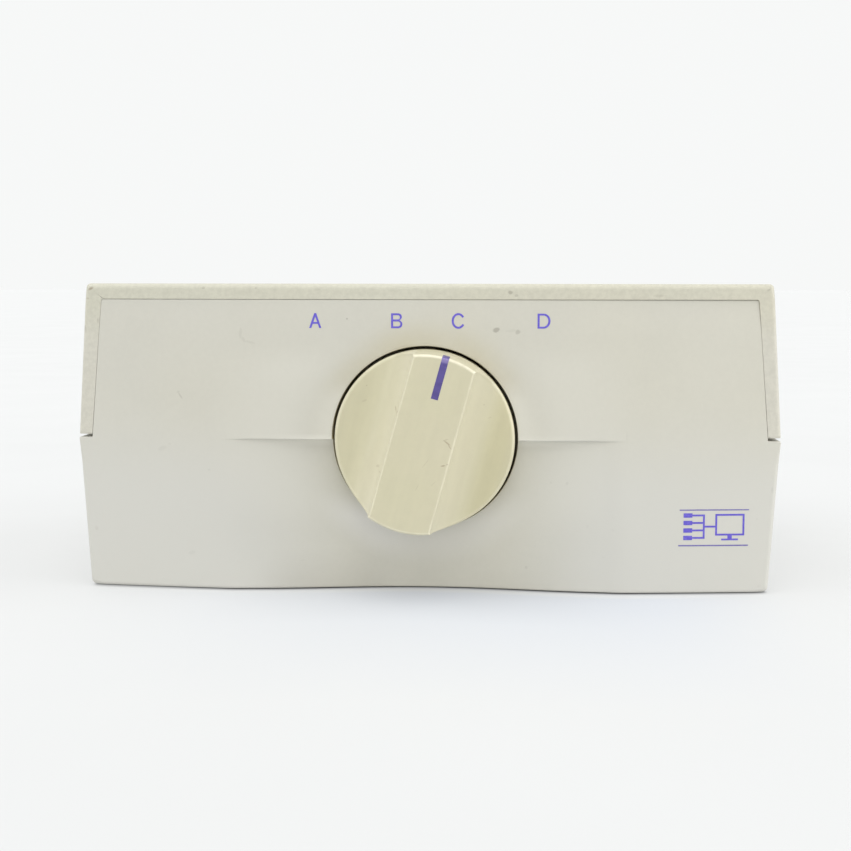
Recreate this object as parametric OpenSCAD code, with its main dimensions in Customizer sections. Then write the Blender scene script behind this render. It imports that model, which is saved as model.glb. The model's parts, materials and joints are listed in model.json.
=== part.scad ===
// Four-way display selector box: a two-shell desktop case with a rotary
// wafer switch behind the front panel and five 15-way sockets at the rear.
// Millimetres. +Z is up, the front panel faces -Y, and +X is to the right of
// somebody who looks at the front. The origin is on the table, under the
// middle of the whole object.

/* [Case] */
// Width at the parting line of the two shells
body_w = 160; // [156:1:166]
// Width at the flat top and at the flat bottom
body_w_end = 155.4; // [152:0.2:156]
// Height of the closed case, without its feet
body_h = 69.5; // [68.5:0.5:71]
// Depth from the front corners to the rear edge
body_d = 105.8; // [104:0.2:112]
// How far the front face bows forward at its middle
bow = 5.2; // [4.6:0.1:5.6]
// Wall of the two shells
wall = 2.9; // [2.6:0.1:3]
// Roof of the cover
roof_t = 3.5; // [3.2:0.1:3.6]
// Side wall of the cover where it meets the roof
wall_top = 3.5; // [3.2:0.1:3.6]
// Floor of the lower shell
floor_t = 2.4; // [2.2:0.1:2.8]
// Open groove between the shells along each side
groove_h = 0.7; // [0.5:0.1:1.2]
// How far each foot stands below the case
foot_h = 0.5; // [0.3:0.1:0.8]

/* [Front panel] */
// Thickness of the front panel
front_t = 2.6; // [2.4:0.1:2.8]
// Depth of the finger scoop at the bottom of the panel
scoop_d = 6.4; // [5.6:0.1:6.6]
// Depth of the finger scoop under its ledge
scoop_top_d = 4; // [3.6:0.1:4.6]
// Half width of the finger scoop
scoop_w = 44.5; // [42:0.5:46]
// Radius of the round well that the knob turns in
well_r = 20.9; // [20.8:0.05:21.4]

/* [Knob] */
// Radius of the knob at its rim
knob_r = 20.2; // [20:0.05:20.4]
// How far the rim stands in front of the panel
knob_proud = 1.3; // [1:0.1:1.6]
// Height of the grip bar above the rim
bar_h = 11.7; // [11:0.1:12.5]
// Half width of the grip bar at its top
bar_hw = 6.85; // [6.5:0.05:7.2]
// Direction of the pointer, clockwise from straight up
pointer_deg = 15.5; // [14.5:0.1:16]
// Width of the pointer line
pointer_w = 1.55; // [1.4:0.05:2]

/* [Sockets] */
// Pitch of the four input sockets
socket_pitch = 35; // [34.5:0.5:36]
// Height of the row of input sockets
socket_z = 21; // [20:0.5:22]
// Height of the output socket
out_z = 49; // [47:0.5:49.5]
// Distance between the two jack screws of a socket
jack_pitch = 25; // [24.9:0.05:25.1]

/* [Hidden] */
$fn = 48;
e = 0.01;

// heights
z0 = foot_h;
z_top = z0 + body_h;
z_split = z0 + 34.7;
z_groove_lo = z_split - groove_h / 2;
z_groove_hi = z_split + groove_h / 2;
z_knob = z0 + 34.78;
z_crease = z_knob;
// the bowed front is a slice of one large upright cylinder
bow_r = (body_w * body_w / 4 + bow * bow) / (2 * bow);
// stations along the depth, measured from the front corners
y_rim = -bow - knob_proud;
y_bar = y_rim - bar_h;
y_skirt = 4;
y_cup = 6;
cup_t = 2.2;
y_plate = y_cup + cup_t;
y_pan_in = 101;
pan_t = 1.2;
y_pan_out = y_pan_in + pan_t;
jack_h = 5.2;
// the middle of the whole length goes to the origin
y_off = -(y_bar + y_pan_out + jack_h) / 2;

// seen from behind, the inputs run A to D from left to right
socket_at = [[1.5 * socket_pitch, socket_z], [0.5 * socket_pitch, socket_z],
             [-0.5 * socket_pitch, socket_z], [-1.5 * socket_pitch, socket_z], [0, out_z]];
boss_at = [[66, 11], [-66, 11], [66, 80], [-66, 80]];
foot_at = [[58, 20], [-58, 20], [58, 92], [-58, 92]];

wafer_n = 5;
wafer_y0 = 20;
wafer_pitch = 5.5;
wafer_t = 1.6;
function wafer_y(i) = wafer_y0 + wafer_pitch * (i - 1);
y_stack_end = wafer_y(wafer_n) + wafer_t;
rod_x = 16;
// angles of the stator clips, clockwise from straight up
clip_deg = concat([for (i = [0:7]) -77 + 22 * i], [for (i = [0:6]) 105 + 25 * i]);

beige = [0.83, 0.82, 0.78];
cream = [0.85, 0.82, 0.69];
violet = [0.36, 0.30, 0.62];
steel = [0.72, 0.72, 0.70];
brass = [0.78, 0.62, 0.30];
phenolic = [0.45, 0.27, 0.14];

// ---------- helpers ----------
function hw(z) = z < z_split
  ? body_w_end / 2 + (body_w - body_w_end) / 2 * (z - z0) / (z_split - z0)
  : body_w / 2 - (body_w - body_w_end) / 2 * (z - z_split) / (z_top - z_split);
function unit(v) = v / norm(v);
function corner(p0, p1, p2, r, n) = r <= 0 ? [p1] :
  let (a = unit(p0 - p1), b = unit(p2 - p1), ang = acos(a * b), t = r / tan(ang / 2),
       c = p1 + unit(a + b) * (r / sin(ang / 2)), s = p1 + a * t, q = p1 + b * t,
       a0 = atan2(s[1] - c[1], s[0] - c[0]), a1 = atan2(q[1] - c[1], q[0] - c[0]),
       d0 = a1 - a0, d = d0 > 180 ? d0 - 360 : d0 < -180 ? d0 + 360 : d0)
  [for (i = [0:n]) c + r * [cos(a0 + d * i / n), sin(a0 + d * i / n)]];
// polygon with each corner rounded to its own radius
function rpoly(p, r, n = 5) = [for (i = [0:len(p) - 1])
  each corner(p[(i + len(p) - 1) % len(p)], p[i], p[(i + 1) % len(p)], r[i], n)];
function band(p, t) = concat([for (q = p) q + [0, t / 2]], [for (i = [len(p) - 1:-1:0]) p[i] - [0, t / 2]]);
// front surface without and with the scoop
function bow_y(x) = bow_r - bow - sqrt(bow_r * bow_r - x * x);
// the scoop ends in a small step on each side and gets deeper from its ledge to the bottom
function scoop_c(x) = pow(cos(78.5 * x / scoop_w), 2);
function scoop_y(x, z) = bow_y(x) + scoop_c(x) * (scoop_top_d + (scoop_d - scoop_top_d) * (z_crease - z) / (z_crease - z0));

module place() { translate([0, y_off, 0]) children(); }
// outline in X and Z, extruded from y0 to y1
module xz(y0, y1) { translate([0, y1, 0]) rotate([90, 0, 0]) linear_extrude(y1 - y0) children(); }
// outline in Y and Z, extruded from x0 to x1
module yz(x0, x1) { translate([x0, 0, 0]) rotate([90, 0, 90]) linear_extrude(x1 - x0) children(); }
// round bar along Y about the knob's axis or another one
module rod(r, y0, y1, x = 0, z = z_knob, fn = 48) { translate([x, y1, z]) rotate([90, 0, 0]) cylinder(r = r, h = y1 - y0, $fn = fn); }
module bow_cyl(inset = 0) { translate([0, bow_r - bow, -5]) cylinder(r = bow_r - inset, h = z_top + 20, $fn = 96); }
// turns a knob drawn with its front along +Z, its pointer along +Y and the bar's width along X
module on_axis(y = 0) { translate([0, y, z_knob]) rotate([0, pointer_deg, 0]) rotate([90, 0, 0]) children(); }
module dee(r, f) { difference() { circle(r = r); translate([-r - 1, f]) square([2 * r + 2, r]); } }

// ---------- case ----------
function low_outline() = rpoly(
  [[-body_w_end / 2, z0], [body_w_end / 2, z0], [hw(z_groove_lo), z_groove_lo], [-hw(z_groove_lo), z_groove_lo]],
  [1.2, 1.2, 0.35, 0.35]);
function low_inner(d) = [
  [-hw(z0 + floor_t) + wall + d, z0 + floor_t + d], [hw(z0 + floor_t) - wall - d, z0 + floor_t + d],
  [hw(z_split) - wall - d, z_split], [hw(z_split) - wall - d, z_split + 60],
  [-hw(z_split) + wall + d, z_split + 60], [-hw(z_split) + wall + d, z_split]];
function cover_outline() = rpoly(
  [[-hw(z_groove_hi), z_groove_hi], [hw(z_groove_hi), z_groove_hi], [body_w_end / 2, z_top], [-body_w_end / 2, z_top]],
  [0.3, 0.3, 1.0, 1.0]);
function cover_inner(d, zl) = rpoly([
  [-hw(zl) + wall + d, zl], [hw(zl) - wall - d, zl],
  [hw(z_top - roof_t) - wall_top - d, z_top - roof_t - d], [-hw(z_top - roof_t) + wall_top + d, z_top - roof_t - d]],
  [0, 0, 0.8, 0.8]);

// solid in front of the scoop's surface, from below the case up to z1
module scoop_shape(inset, z1) {
  n = 40;
  zb = -3;
  xs = [for (i = [0:n]) -scoop_w + 2 * scoop_w * i / n];
  row = function(z, back) [for (x = xs) [x * (1 + inset / scoop_w), back ? scoop_y(x, z) + inset : -30, z]];
  m = n + 1;
  quads = [for (k = [[0, 1], [1, 3], [3, 2], [2, 0]], i = [0:n - 1])
    [k[0] * m + i, k[1] * m + i, k[1] * m + i + 1, k[0] * m + i + 1]];
  polyhedron(concat(row(zb, false), row(zb, true), row(z1, false), row(z1, true)),
    concat([for (q = quads) each [[q[0], q[1], q[2]], [q[0], q[2], q[3]]]],
      [[0, 2 * m, 3 * m, m], [n, m + n, 3 * m + n, 2 * m + n]]));
}

module lower_case() color(beige) place() {
  difference() {
    union() {
      // floor, low side walls and the lower half of the front
      difference() {
        intersection() { bow_cyl(); xz(-12, body_d) polygon(low_outline()); }
        intersection() { bow_cyl(front_t); xz(-12, body_d + 1) polygon(low_inner(0)); }
      }
      // upper half of the front, inside the cover
      difference() {
        intersection() { bow_cyl(); xz(-12, 14) polygon(cover_inner(0.25, z_groove_lo - 1)); }
        bow_cyl(front_t);
      }
      // back of the scoop
      intersection() {
        bow_cyl();
        xz(-12, body_d) polygon(low_outline());
        scoop_shape(front_t, z_crease + 0.5);
      }
      intersection() {
        bow_cyl();
        translate([-scoop_w, -12, z_crease - 2]) cube([2 * scoop_w, 24, 4.4]);
        scoop_shape(front_t, z_crease + 2.4);
      }
      // well of the knob, closed by the switch's seat
      intersection() { bow_cyl(); rod(well_r + 2.2, -12, y_plate, fn = 96); }
      // lips that stand inside the cover's sides
      for (s = [-1, 1]) xz(2.4, y_pan_in - 2)
        polygon([for (p = [[75.0, 27], [77.4, 29], [77.2, z_groove_lo - 0.5], [76.55, z_groove_lo], [76.4, 39], [75.0, 39]]) [s * p[0], p[1]]]);
      // screw pillars
      for (b = boss_at) translate([b[0], b[1], z0 + 1]) cylinder(r = 4.5, h = 36 - z0 - 1);
      // ribs that hold the rear panel
      difference() {
        xz(y_pan_in - 2.1, y_pan_out + 2.1) polygon(concat(
          [[-hw(z0 + 2) + 1.5, z0 + 1.5], [hw(z0 + 2) - 1.5, z0 + 1.5]],
          [[hw(z_groove_lo) - 1.5, z_groove_lo], [-hw(z_groove_lo) + 1.5, z_groove_lo]]));
        xz(y_pan_in - 3, y_pan_out + 3) polygon(low_inner(1.8));
      }
    }
    scoop_shape(0, z_crease);
    // bore of the knob's well, the switch's seat and its key
    rod(well_r, -12, y_cup, fn = 96);
    rod(4.6, 0, 20);
    rod(1.35, y_cup - 1, 20, 0, z_knob - 12);
    // groove for the rear panel
    xz(y_pan_in - 0.1, y_pan_out + 0.1) polygon(low_inner(0.4));
    // screw wells and foot wells
    for (b = boss_at) translate([b[0], b[1], 0]) {
      translate([0, 0, -1]) cylinder(r = 3.1, h = 25);
      cylinder(r = 1.7, h = 40);
    }
    for (f = foot_at) translate([f[0], f[1], -1]) cylinder(r = 5.2, h = 2.5);
  }
}

module top_cover() color(beige) place() {
  difference() {
    union() {
      difference() {
        intersection() { bow_cyl(); xz(-12, body_d) polygon(cover_outline()); }
        xz(-13, body_d + 1) polygon(cover_inner(0, z_groove_lo - 1));
      }
      for (b = boss_at) translate([b[0], b[1], 36.2]) cylinder(r = 3.6, h = z_top - 1 - 36.2);
      // ribs that hold the rear panel
      difference() {
        xz(y_pan_in - 2.1, y_pan_out + 2.1) polygon([
          [-hw(40) + 1.5, 40], [hw(40) - 1.5, 40], [hw(z_top - 2) - 1.5, z_top - 1.5], [-hw(z_top - 2) + 1.5, z_top - 1.5]]);
        xz(y_pan_in - 3, y_pan_out + 3) polygon(cover_inner(1.8, 39));
      }
    }
    xz(y_pan_in - 0.1, y_pan_out + 0.1) polygon(cover_inner(0.4, z_split));
    for (b = boss_at) translate([b[0], b[1], 30]) cylinder(r = 1.5, h = 17);
  }
}

// outline of a 15-way shell: wide side up, sides raked by ten degrees
function dee_shell(w, h, r) = rpoly(
  [[-w / 2 + h * tan(10), -h / 2], [w / 2 - h * tan(10), -h / 2], [w / 2, h / 2], [-w / 2, h / 2]], [r, r, r, r], 4);

module rear_panel() color(beige) place() {
  difference() {
    xz(y_pan_in, y_pan_out) polygon([
      [-hw(z0 + floor_t) + wall + 0.5, z0 + floor_t + 0.5], [hw(z0 + floor_t) - wall - 0.5, z0 + floor_t + 0.5],
      [hw(z_split) - wall - 0.5, z_split], [hw(z_top - roof_t) - wall_top - 0.5, z_top - roof_t - 1.5],
      [hw(z_top - roof_t) - wall_top - 1.5, z_top - roof_t - 0.5], [-hw(z_top - roof_t) + wall_top + 1.5, z_top - roof_t - 0.5],
      [-hw(z_top - roof_t) + wall_top + 0.5, z_top - roof_t - 1.5], [-hw(z_split) + wall + 0.5, z_split]]);
    for (s = socket_at) {
      xz(y_pan_in - 1, y_pan_out + 1) translate(s) polygon(dee_shell(17.6, 9.3, 1.8));
      for (k = [-1, 1]) rod(1.6, y_pan_in - 1, y_pan_out + 1, s[0] + k * jack_pitch / 2, s[1]);
    }
  }
}

module rubber_feet() color([0.2, 0.2, 0.2]) place()
  for (f = foot_at) translate([f[0], f[1], 0]) {
    cylinder(r1 = 4.6, r2 = 5, h = 0.4);
    translate([0, 0, 0.4]) cylinder(r = 5, h = 1.1);
  }

module case_screws() color(steel) place()
  for (b = boss_at) translate([b[0], b[1], 0]) difference() {
    union() {
      translate([0, 0, 21.8]) cylinder(r = 2.8, h = 2.2);
      translate([0, 0, 23.9]) cylinder(r = 1.48, h = 20);
      translate([0, 0, 43.9]) cylinder(r1 = 1.48, r2 = 0.5, h = 2);
    }
    for (a = [0, 90]) translate([0, 0, 22.2]) rotate([0, 0, a]) cube([3, 0.7, 1.6], center = true);
  }

// ---------- sockets ----------
module socket_shell(i) color(steel) place() translate([socket_at[i][0], 0, socket_at[i][1]]) difference() {
  union() {
    xz(y_pan_in - 0.8, y_pan_in) polygon(rpoly([[-15.4, -6.25], [15.4, -6.25], [15.4, 6.25], [-15.4, 6.25]], [1.2, 1.2, 1.2, 1.2], 4));
    xz(y_pan_in - 0.4, y_pan_in + 5.9) polygon(dee_shell(16.9, 8.6, 1.6));
  }
  xz(y_pan_in - 2, y_pan_in + 7) polygon(dee_shell(16, 7.7, 1.2));
  for (k = [-1, 1]) rod(1.55, y_pan_in - 2, y_pan_in + 1, k * jack_pitch / 2, 0);
}
// three rows of five, the middle row shifted by half a pitch
function pin_at(k) = let (row = floor(k / 5), c = k % 5)
  [(c - 2) * 2.29 + (row == 1 ? -0.57 : 0.57), (1 - row) * 1.98];
module socket_insulator(i) color([0.12, 0.2, 0.5]) place() translate([socket_at[i][0], 0, socket_at[i][1]]) difference() {
  union() {
    xz(y_pan_in - 0.9, y_pan_in + 5.6) polygon(dee_shell(15.9, 7.6, 1.15));
    xz(y_pan_in - 8, y_pan_in - 0.85) polygon(rpoly([[-9.6, -5.3], [9.6, -5.3], [9.6, 5.3], [-9.6, 5.3]], [0.6, 0.6, 0.6, 0.6], 3));
  }
  for (k = [0:14]) let (p = pin_at(k)) rod(0.55, y_pan_in - 9, y_pan_in + 7, p[0], p[1], 24);
}
module socket_contacts(i) color(brass) place() translate([socket_at[i][0], 0, socket_at[i][1]])
  for (k = [0:14]) let (p = pin_at(k)) difference() {
    rod(0.48, y_pan_in - 12, y_pan_in + 4.6, p[0], p[1], 24);
    rod(0.3, y_pan_in + 1, y_pan_in + 6, p[0], p[1], 24);
  }
module jack_screws() color(steel) place()
  for (s = socket_at) for (k = [-1, 1]) translate([s[0] + k * jack_pitch / 2, 0, s[1]]) difference() {
    union() {
      translate([0, y_pan_out + jack_h, 0]) rotate([90, 0, 0]) cylinder(r = 2.75, h = jack_h, $fn = 6);
      rod(1.4, y_pan_in - 3.6, y_pan_out + 1, 0, 0);
    }
    rod(1.15, y_pan_out + 0.8, y_pan_out + jack_h + 1, 0, 0);
  }
module jack_nuts() color(steel) place()
  for (s = socket_at) for (k = [-1, 1]) translate([s[0] + k * jack_pitch / 2, 0, s[1]]) difference() {
    translate([0, y_pan_in - 0.8, 0]) rotate([90, 0, 0]) cylinder(r = 2.75, h = 1.8, $fn = 6);
    rod(1.43, y_pan_in - 4, y_pan_in, 0, 0);
  }

// ---------- rotary switch, fixed pieces ----------
module switch_bushing() color(brass) place() difference() {
  union() {
    rod(4.5, 1.4, y_plate + 1.6);
    rod(4.2, 1, 1.5);
    rod(6.5, y_plate + 1.6, y_plate + 2.4);
  }
  rod(3.05, 0, y_plate + 4);
}
module switch_plate() color(steel) place() difference() {
  union() {
    xz(y_plate, y_plate + 1.6) translate([0, z_knob]) polygon(rpoly([[-19, -19], [19, -19], [19, 19], [-19, 19]], [3, 3, 3, 3]));
    rod(1.2, y_cup + 0.4, y_plate + 0.5, 0, z_knob - 12);
  }
  rod(4.55, y_plate - 1, y_plate + 3);
  for (k = [-1, 1]) rod(1.52, y_plate - 1, y_plate + 3, k * rod_x);
}
y_det = y_plate + 1.6;
det_l = 6.2;
wheel_y = y_det + 1.2;
wheel_t = 3.6;
wheel_r = 9.6;
notch_r = 1.5;
// sector that lets the stop lug travel between the end positions
stop_half = 45 + 8.5;
module detent_housing() color([0.6, 0.6, 0.6]) place() difference() {
  xz(y_det, y_det + det_l) translate([0, z_knob]) polygon(rpoly([[-19, -19], [19, -19], [19, 19], [-19, 19]], [3, 3, 3, 3]));
  rod(10.4, y_det - 1, y_det + det_l - 1);
  // pocket of the stop lug, below the shaft
  xz(y_det - 1, y_det + det_l - 1) translate([0, z_knob])
    polygon(concat([[0, 0]], [for (i = [0:24]) let (a = 180 - stop_half + 2 * stop_half * i / 24) 13.4 * [sin(a), cos(a)]]));
  // slot of the leaf spring, above the shaft
  translate([-13, y_det - 1, z_knob + 8.5]) cube([26, det_l, 6.5]);
  rod(3.2, y_det, y_det + det_l + 1);
  for (k = [-1, 1]) rod(1.6, y_det - 1, y_det + det_l + 1, k * rod_x);
}
// leaf whose rounded middle drops into a notch of the index wheel
module detent_spring() color(steel) place() xz(wheel_y + 0.1, wheel_y + wheel_t - 0.1) translate([0, z_knob]) {
  m = 10;
  c = 9.6 + 0.55;
  lower = concat([[-12.6, 13.4]], [for (i = [0:m]) let (a = 215 + 110 * i / m) [0, c] + 1.25 * [cos(a), sin(a)]], [[12.6, 13.4]]);
  upper = concat([[12.6, 13.8]], [for (i = [0:m]) let (a = 325 - 110 * i / m) [0, c] + 0.85 * [cos(a), sin(a)]], [[-12.6, 13.8]]);
  polygon(concat(lower, upper));
}
module panel_nut() color(steel) place() difference() {
  translate([0, y_cup - 0.6, z_knob]) rotate([90, 0, 0]) cylinder(r = 6.9, h = 2.4, $fn = 6);
  rod(4.55, 0, 10);
}
module lock_washer() color(steel) place() difference() {
  xz(y_cup - 0.6, y_cup) translate([0, z_knob]) polygon([for (i = [0:35]) (i % 2 == 0 ? 7.6 : 6.7) * [cos(10 * i), sin(10 * i)]]);
  rod(4.6, 0, 10);
}
module wafer(i) color(phenolic) place() difference() {
  xz(wafer_y(i), wafer_y(i) + wafer_t) translate([0, z_knob])
    polygon([[-19, -9], [-9, -19], [9, -19], [19, -9], [19, 9], [9, 19], [-9, 19], [-19, 9]]);
  rod(8.3, 0, 60);
  for (k = [-1, 1]) rod(1.6, 0, 60, k * rod_x);
}
module wafer_clips(i) color(brass) place() translate([0, wafer_y(i) - 0.35, z_knob])
  for (a = clip_deg) rotate([0, a, 0]) {
    translate([-0.7, 0, 6.1]) cube([1.4, 0.35, 12]);
    translate([-0.7, -1.5, 17.6]) cube([1.4, 1.6, 0.5]);
  }
module spacer_sleeves() color(steel) place() for (k = [-1, 1]) {
  difference() {
    rod(2.6, y_det + det_l, wafer_y(1), k * rod_x);
    rod(1.6, 0, 60, k * rod_x);
  }
  for (i = [1:wafer_n - 1]) difference() {
    rod(2.6, wafer_y(i) + wafer_t, wafer_y(i + 1), k * rod_x);
    rod(1.6, 0, 60, k * rod_x);
  }
}
module tie_rods() color(steel) place() for (k = [-1, 1]) rod(1.5, y_plate + 0.1, y_stack_end + 4, k * rod_x);
module tie_nuts() color(steel) place() for (k = [-1, 1]) difference() {
  translate([k * rod_x, y_stack_end + 2.4, z_knob]) rotate([90, 0, 0]) cylinder(r = 3.15, h = 2.4, $fn = 6);
  rod(1.53, 0, 60, k * rod_x);
}

// ---------- ribbons from the sockets to the wafers ----------
y_tail = y_pan_in - 12.05;
rib_w = 19;
rib_t = 0.9;
function ribbon_grey() = [0.66, 0.67, 0.69];
// outer inputs: forward along the floor of the case, then folded towards the switch
module ribbon_side(s) color(ribbon_grey()) place() {
  xm = 1.5 * socket_pitch;
  w = rib_w - 2;
  translate([s * xm - w / 2, 22, socket_z - rib_t / 2]) cube([w, y_tail - 22, rib_t]);
  translate([s > 0 ? 20.5 : -xm - w / 2, 22, socket_z + rib_t / 2 - e]) cube([xm + w / 2 - 20.5, w, rib_t]);
}
// inner inputs: down and forward under the wafers
module ribbon_low(s) color(ribbon_grey()) place()
  yz(s * 0.5 * socket_pitch - rib_w / 2, s * 0.5 * socket_pitch + rib_w / 2)
    polygon(band([[20.5, 13], [58, 13], [66, 17], [74, socket_z], [y_tail, socket_z]], rib_t));
// output: up and forward over the wafers
module ribbon_top() color(ribbon_grey()) place()
  yz(-rib_w / 2, rib_w / 2)
    polygon(band([[20.5, z_knob + 22.2], [56, z_knob + 22.2], [66, out_z + 4], [74, out_z], [y_tail, out_z]], rib_t));

// ---------- pieces that turn with the knob ----------
h_rim = -y_rim;
h_bar = -y_bar;
h_back = -y_skirt;
val_u = 15;
val_h = h_rim - 0.35;
top_r = knob_r - 0.55;
// concave flank beside the grip bar: a quarter ellipse down to the valley, then a slow rise to the rim
function flank_line(n) = concat(
  [for (i = [0:n]) let (a = 4 + 86 * i / n) [val_u - (val_u - bar_hw) * cos(a), val_h + (h_bar - val_h) * (1 - sin(a))]],
  [for (i = [1:6]) [val_u + (knob_r + 1 - val_u) * i / 6, val_h + 0.35 * pow((knob_r + 1 - val_u) * i / 6 / (knob_r - val_u), 2)]]);
module knob_outer() intersection() {
  union() {
    translate([0, 0, h_back]) cylinder(r = knob_r, h = h_rim - h_back, $fn = 96);
    translate([0, 0, h_rim]) cylinder(r1 = knob_r, r2 = top_r, h = bar_h, $fn = 96);
  }
  rotate([90, 0, 0]) translate([0, 0, -23]) linear_extrude(46) {
    right = flank_line(16);
    polygon(concat([[-knob_r - 1, h_back - 1], [knob_r + 1, h_back - 1]],
      [for (i = [len(right) - 1:-1:0]) right[i]], [[bar_hw - 0.1, h_bar - 0.12], [bar_hw - 0.35, h_bar]],
      [[-bar_hw + 0.35, h_bar], [-bar_hw + 0.1, h_bar - 0.12]], [for (p = right) [-p[0], p[1]]]));
  }
}
// strip along the top of the bar and down its end
module pointer_cut(w, top) rotate([90, 0, 90]) translate([0, 0, -w / 2]) linear_extrude(w)
  polygon([[top_r - 9.4, h_bar - 0.4], [top_r - 0.45, h_bar - 0.4], [knob_r - 0.45, h_rim + 0.4],
           [knob_r + 2, h_rim + 0.4], [knob_r + 2, top], [top_r - 9.4, top]]);
shaft_flat = 1.5;
shaft_tip = 13.2;
module knob() color(cream) place() on_axis() difference() {
  union() {
    difference() {
      knob_outer();
      translate([0, 0, h_back - 1]) cylinder(r = knob_r - 2.2, h = val_h - 2.2 - h_back + 1, $fn = 96);
      translate([-bar_hw + 2.2, -15.5, 0]) cube([2 * bar_hw - 4.4, 31, h_bar - 2.4]);
    }
    // hub and its ribs
    translate([0, 0, -0.5]) cylinder(r = 5.5, h = h_bar - 1.5);
    for (a = [0, 90]) rotate([0, 0, a]) translate([-19, -0.8, 0]) cube([38, 1.6, val_h - 2]);
  }
  translate([0, 0, -2]) linear_extrude(shaft_tip + 2.2) dee(3.04, shaft_flat + 0.02);
  // seat of the spring on the shaft's flat
  translate([-2.2, shaft_flat - 0.2, -2]) cube([4.4, 0.95, 12]);
  pointer_cut(pointer_w, h_bar + 1);
}
module pointer_line() color(violet) place() on_axis() intersection() {
  translate([0, 0, h_rim]) cylinder(r1 = knob_r, r2 = top_r, h = bar_h, $fn = 480);
  pointer_cut(pointer_w, h_bar + 0.5);
}
module knob_spring() color(steel) place() on_axis()
  translate([-2, 0, 0.2]) rotate([90, 0, 90]) linear_extrude(4)
    polygon([[shaft_flat + 0.25, 0], [shaft_flat + 0.7, 0], [shaft_flat + 0.7, 9.4], [shaft_flat + 0.25, 9.4],
             [shaft_flat + 0.25, 7.5], [shaft_flat + 0.04, 5], [shaft_flat + 0.25, 2.5]]);
module switch_shaft() color(steel) place() on_axis() difference() {
  union() {
    translate([0, 0, -y_stack_end - 3]) cylinder(r = 3, h = y_stack_end + 3 + shaft_tip - 0.6);
    translate([0, 0, shaft_tip - 0.6]) cylinder(r1 = 3, r2 = 2.4, h = 0.6);
  }
  translate([-4, shaft_flat, -0.8]) cube([8, 4, 20]);
  translate([-4, shaft_flat, -y_stack_end - 4]) cube([8, 4, y_stack_end + 4 - wafer_y(1) + 1.5]);
  // groove of the retaining clip
  translate([0, 0, -y_det - det_l - 1.1]) difference() { cylinder(r = 4, h = 0.9); translate([0, 0, -1]) cylinder(r = 2.3, h = 3); }
}
module index_wheel() color([0.9, 0.88, 0.82]) place() on_axis() translate([0, 0, -wheel_y - wheel_t]) linear_extrude(wheel_t)
  difference() {
    union() {
      difference() {
        circle(r = wheel_r);
        for (i = [0:11]) rotate([0, 0, 30 * i + pointer_deg]) translate([0, wheel_r + 0.55]) circle(r = notch_r, $fn = 32);
      }
      // stop lug: straight down when the knob is halfway between its ends
      rotate([0, 0, pointer_deg - 15]) translate([-1.5, -12.9]) square([3, 6]);
    }
    circle(r = 3.02);
  }
module shaft_clip() color(steel) place() on_axis() translate([0, 0, -y_det - det_l - 1.05]) linear_extrude(0.8) difference() {
  circle(r = 5.2);
  circle(r = 2.34);
  translate([-1.9, -6]) square([3.8, 6]);
}
module rotor(i) color([0.9, 0.88, 0.82]) place() on_axis() translate([0, 0, -wafer_y(i) - 1.5]) linear_extrude(1.2) difference() {
  circle(r = 8);
  dee(3.04, shaft_flat + 0.03);
}
module rotor_blades() color(brass) place() on_axis() for (i = [1:wafer_n]) translate([0, 0, -wafer_y(i) - 0.3]) linear_extrude(0.25)
  for (k = [0:2]) rotate([0, 0, 120 * k]) polygon(concat(
    [for (j = [0:8]) 7.7 * [cos(10 * j), sin(10 * j)]], [for (j = [8:-1:0]) 4.6 * [cos(10 * j), sin(10 * j)]]));

lower_case();
top_cover();
rear_panel();
rubber_feet();
case_screws();
socket_shell(0);  // socket_a_shell
socket_shell(1);  // socket_b_shell
socket_shell(2);  // socket_c_shell
socket_shell(3);  // socket_d_shell
socket_shell(4);  // socket_out_shell
socket_insulator(0);  // socket_a_insulator
socket_insulator(1);  // socket_b_insulator
socket_insulator(2);  // socket_c_insulator
socket_insulator(3);  // socket_d_insulator
socket_insulator(4);  // socket_out_insulator
socket_contacts(0);  // socket_a_contacts
socket_contacts(1);  // socket_b_contacts
socket_contacts(2);  // socket_c_contacts
socket_contacts(3);  // socket_d_contacts
socket_contacts(4);  // socket_out_contacts
jack_screws();
jack_nuts();
switch_bushing();
switch_plate();
detent_housing();
detent_spring();
panel_nut();
lock_washer();
wafer(1);  // wafer_1
wafer(2);  // wafer_2
wafer(3);  // wafer_3
wafer(4);  // wafer_4
wafer(5);  // wafer_5
wafer_clips(1);  // wafer_1_clips
wafer_clips(2);  // wafer_2_clips
wafer_clips(3);  // wafer_3_clips
wafer_clips(4);  // wafer_4_clips
wafer_clips(5);  // wafer_5_clips
spacer_sleeves();
tie_rods();
tie_nuts();
ribbon_side(1);  // ribbon_a
ribbon_low(1);  // ribbon_b
ribbon_low(-1);  // ribbon_c
ribbon_side(-1);  // ribbon_d
ribbon_top();  // ribbon_out
knob();
pointer_line();
knob_spring();
switch_shaft();
index_wheel();
shaft_clip();
rotor(1);  // rotor_1
rotor(2);  // rotor_2
rotor(3);  // rotor_3
rotor(4);  // rotor_4
rotor(5);  // rotor_5
rotor_blades();
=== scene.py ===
import json
import math

import bmesh
import bpy
from mathutils import Matrix, Vector


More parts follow.
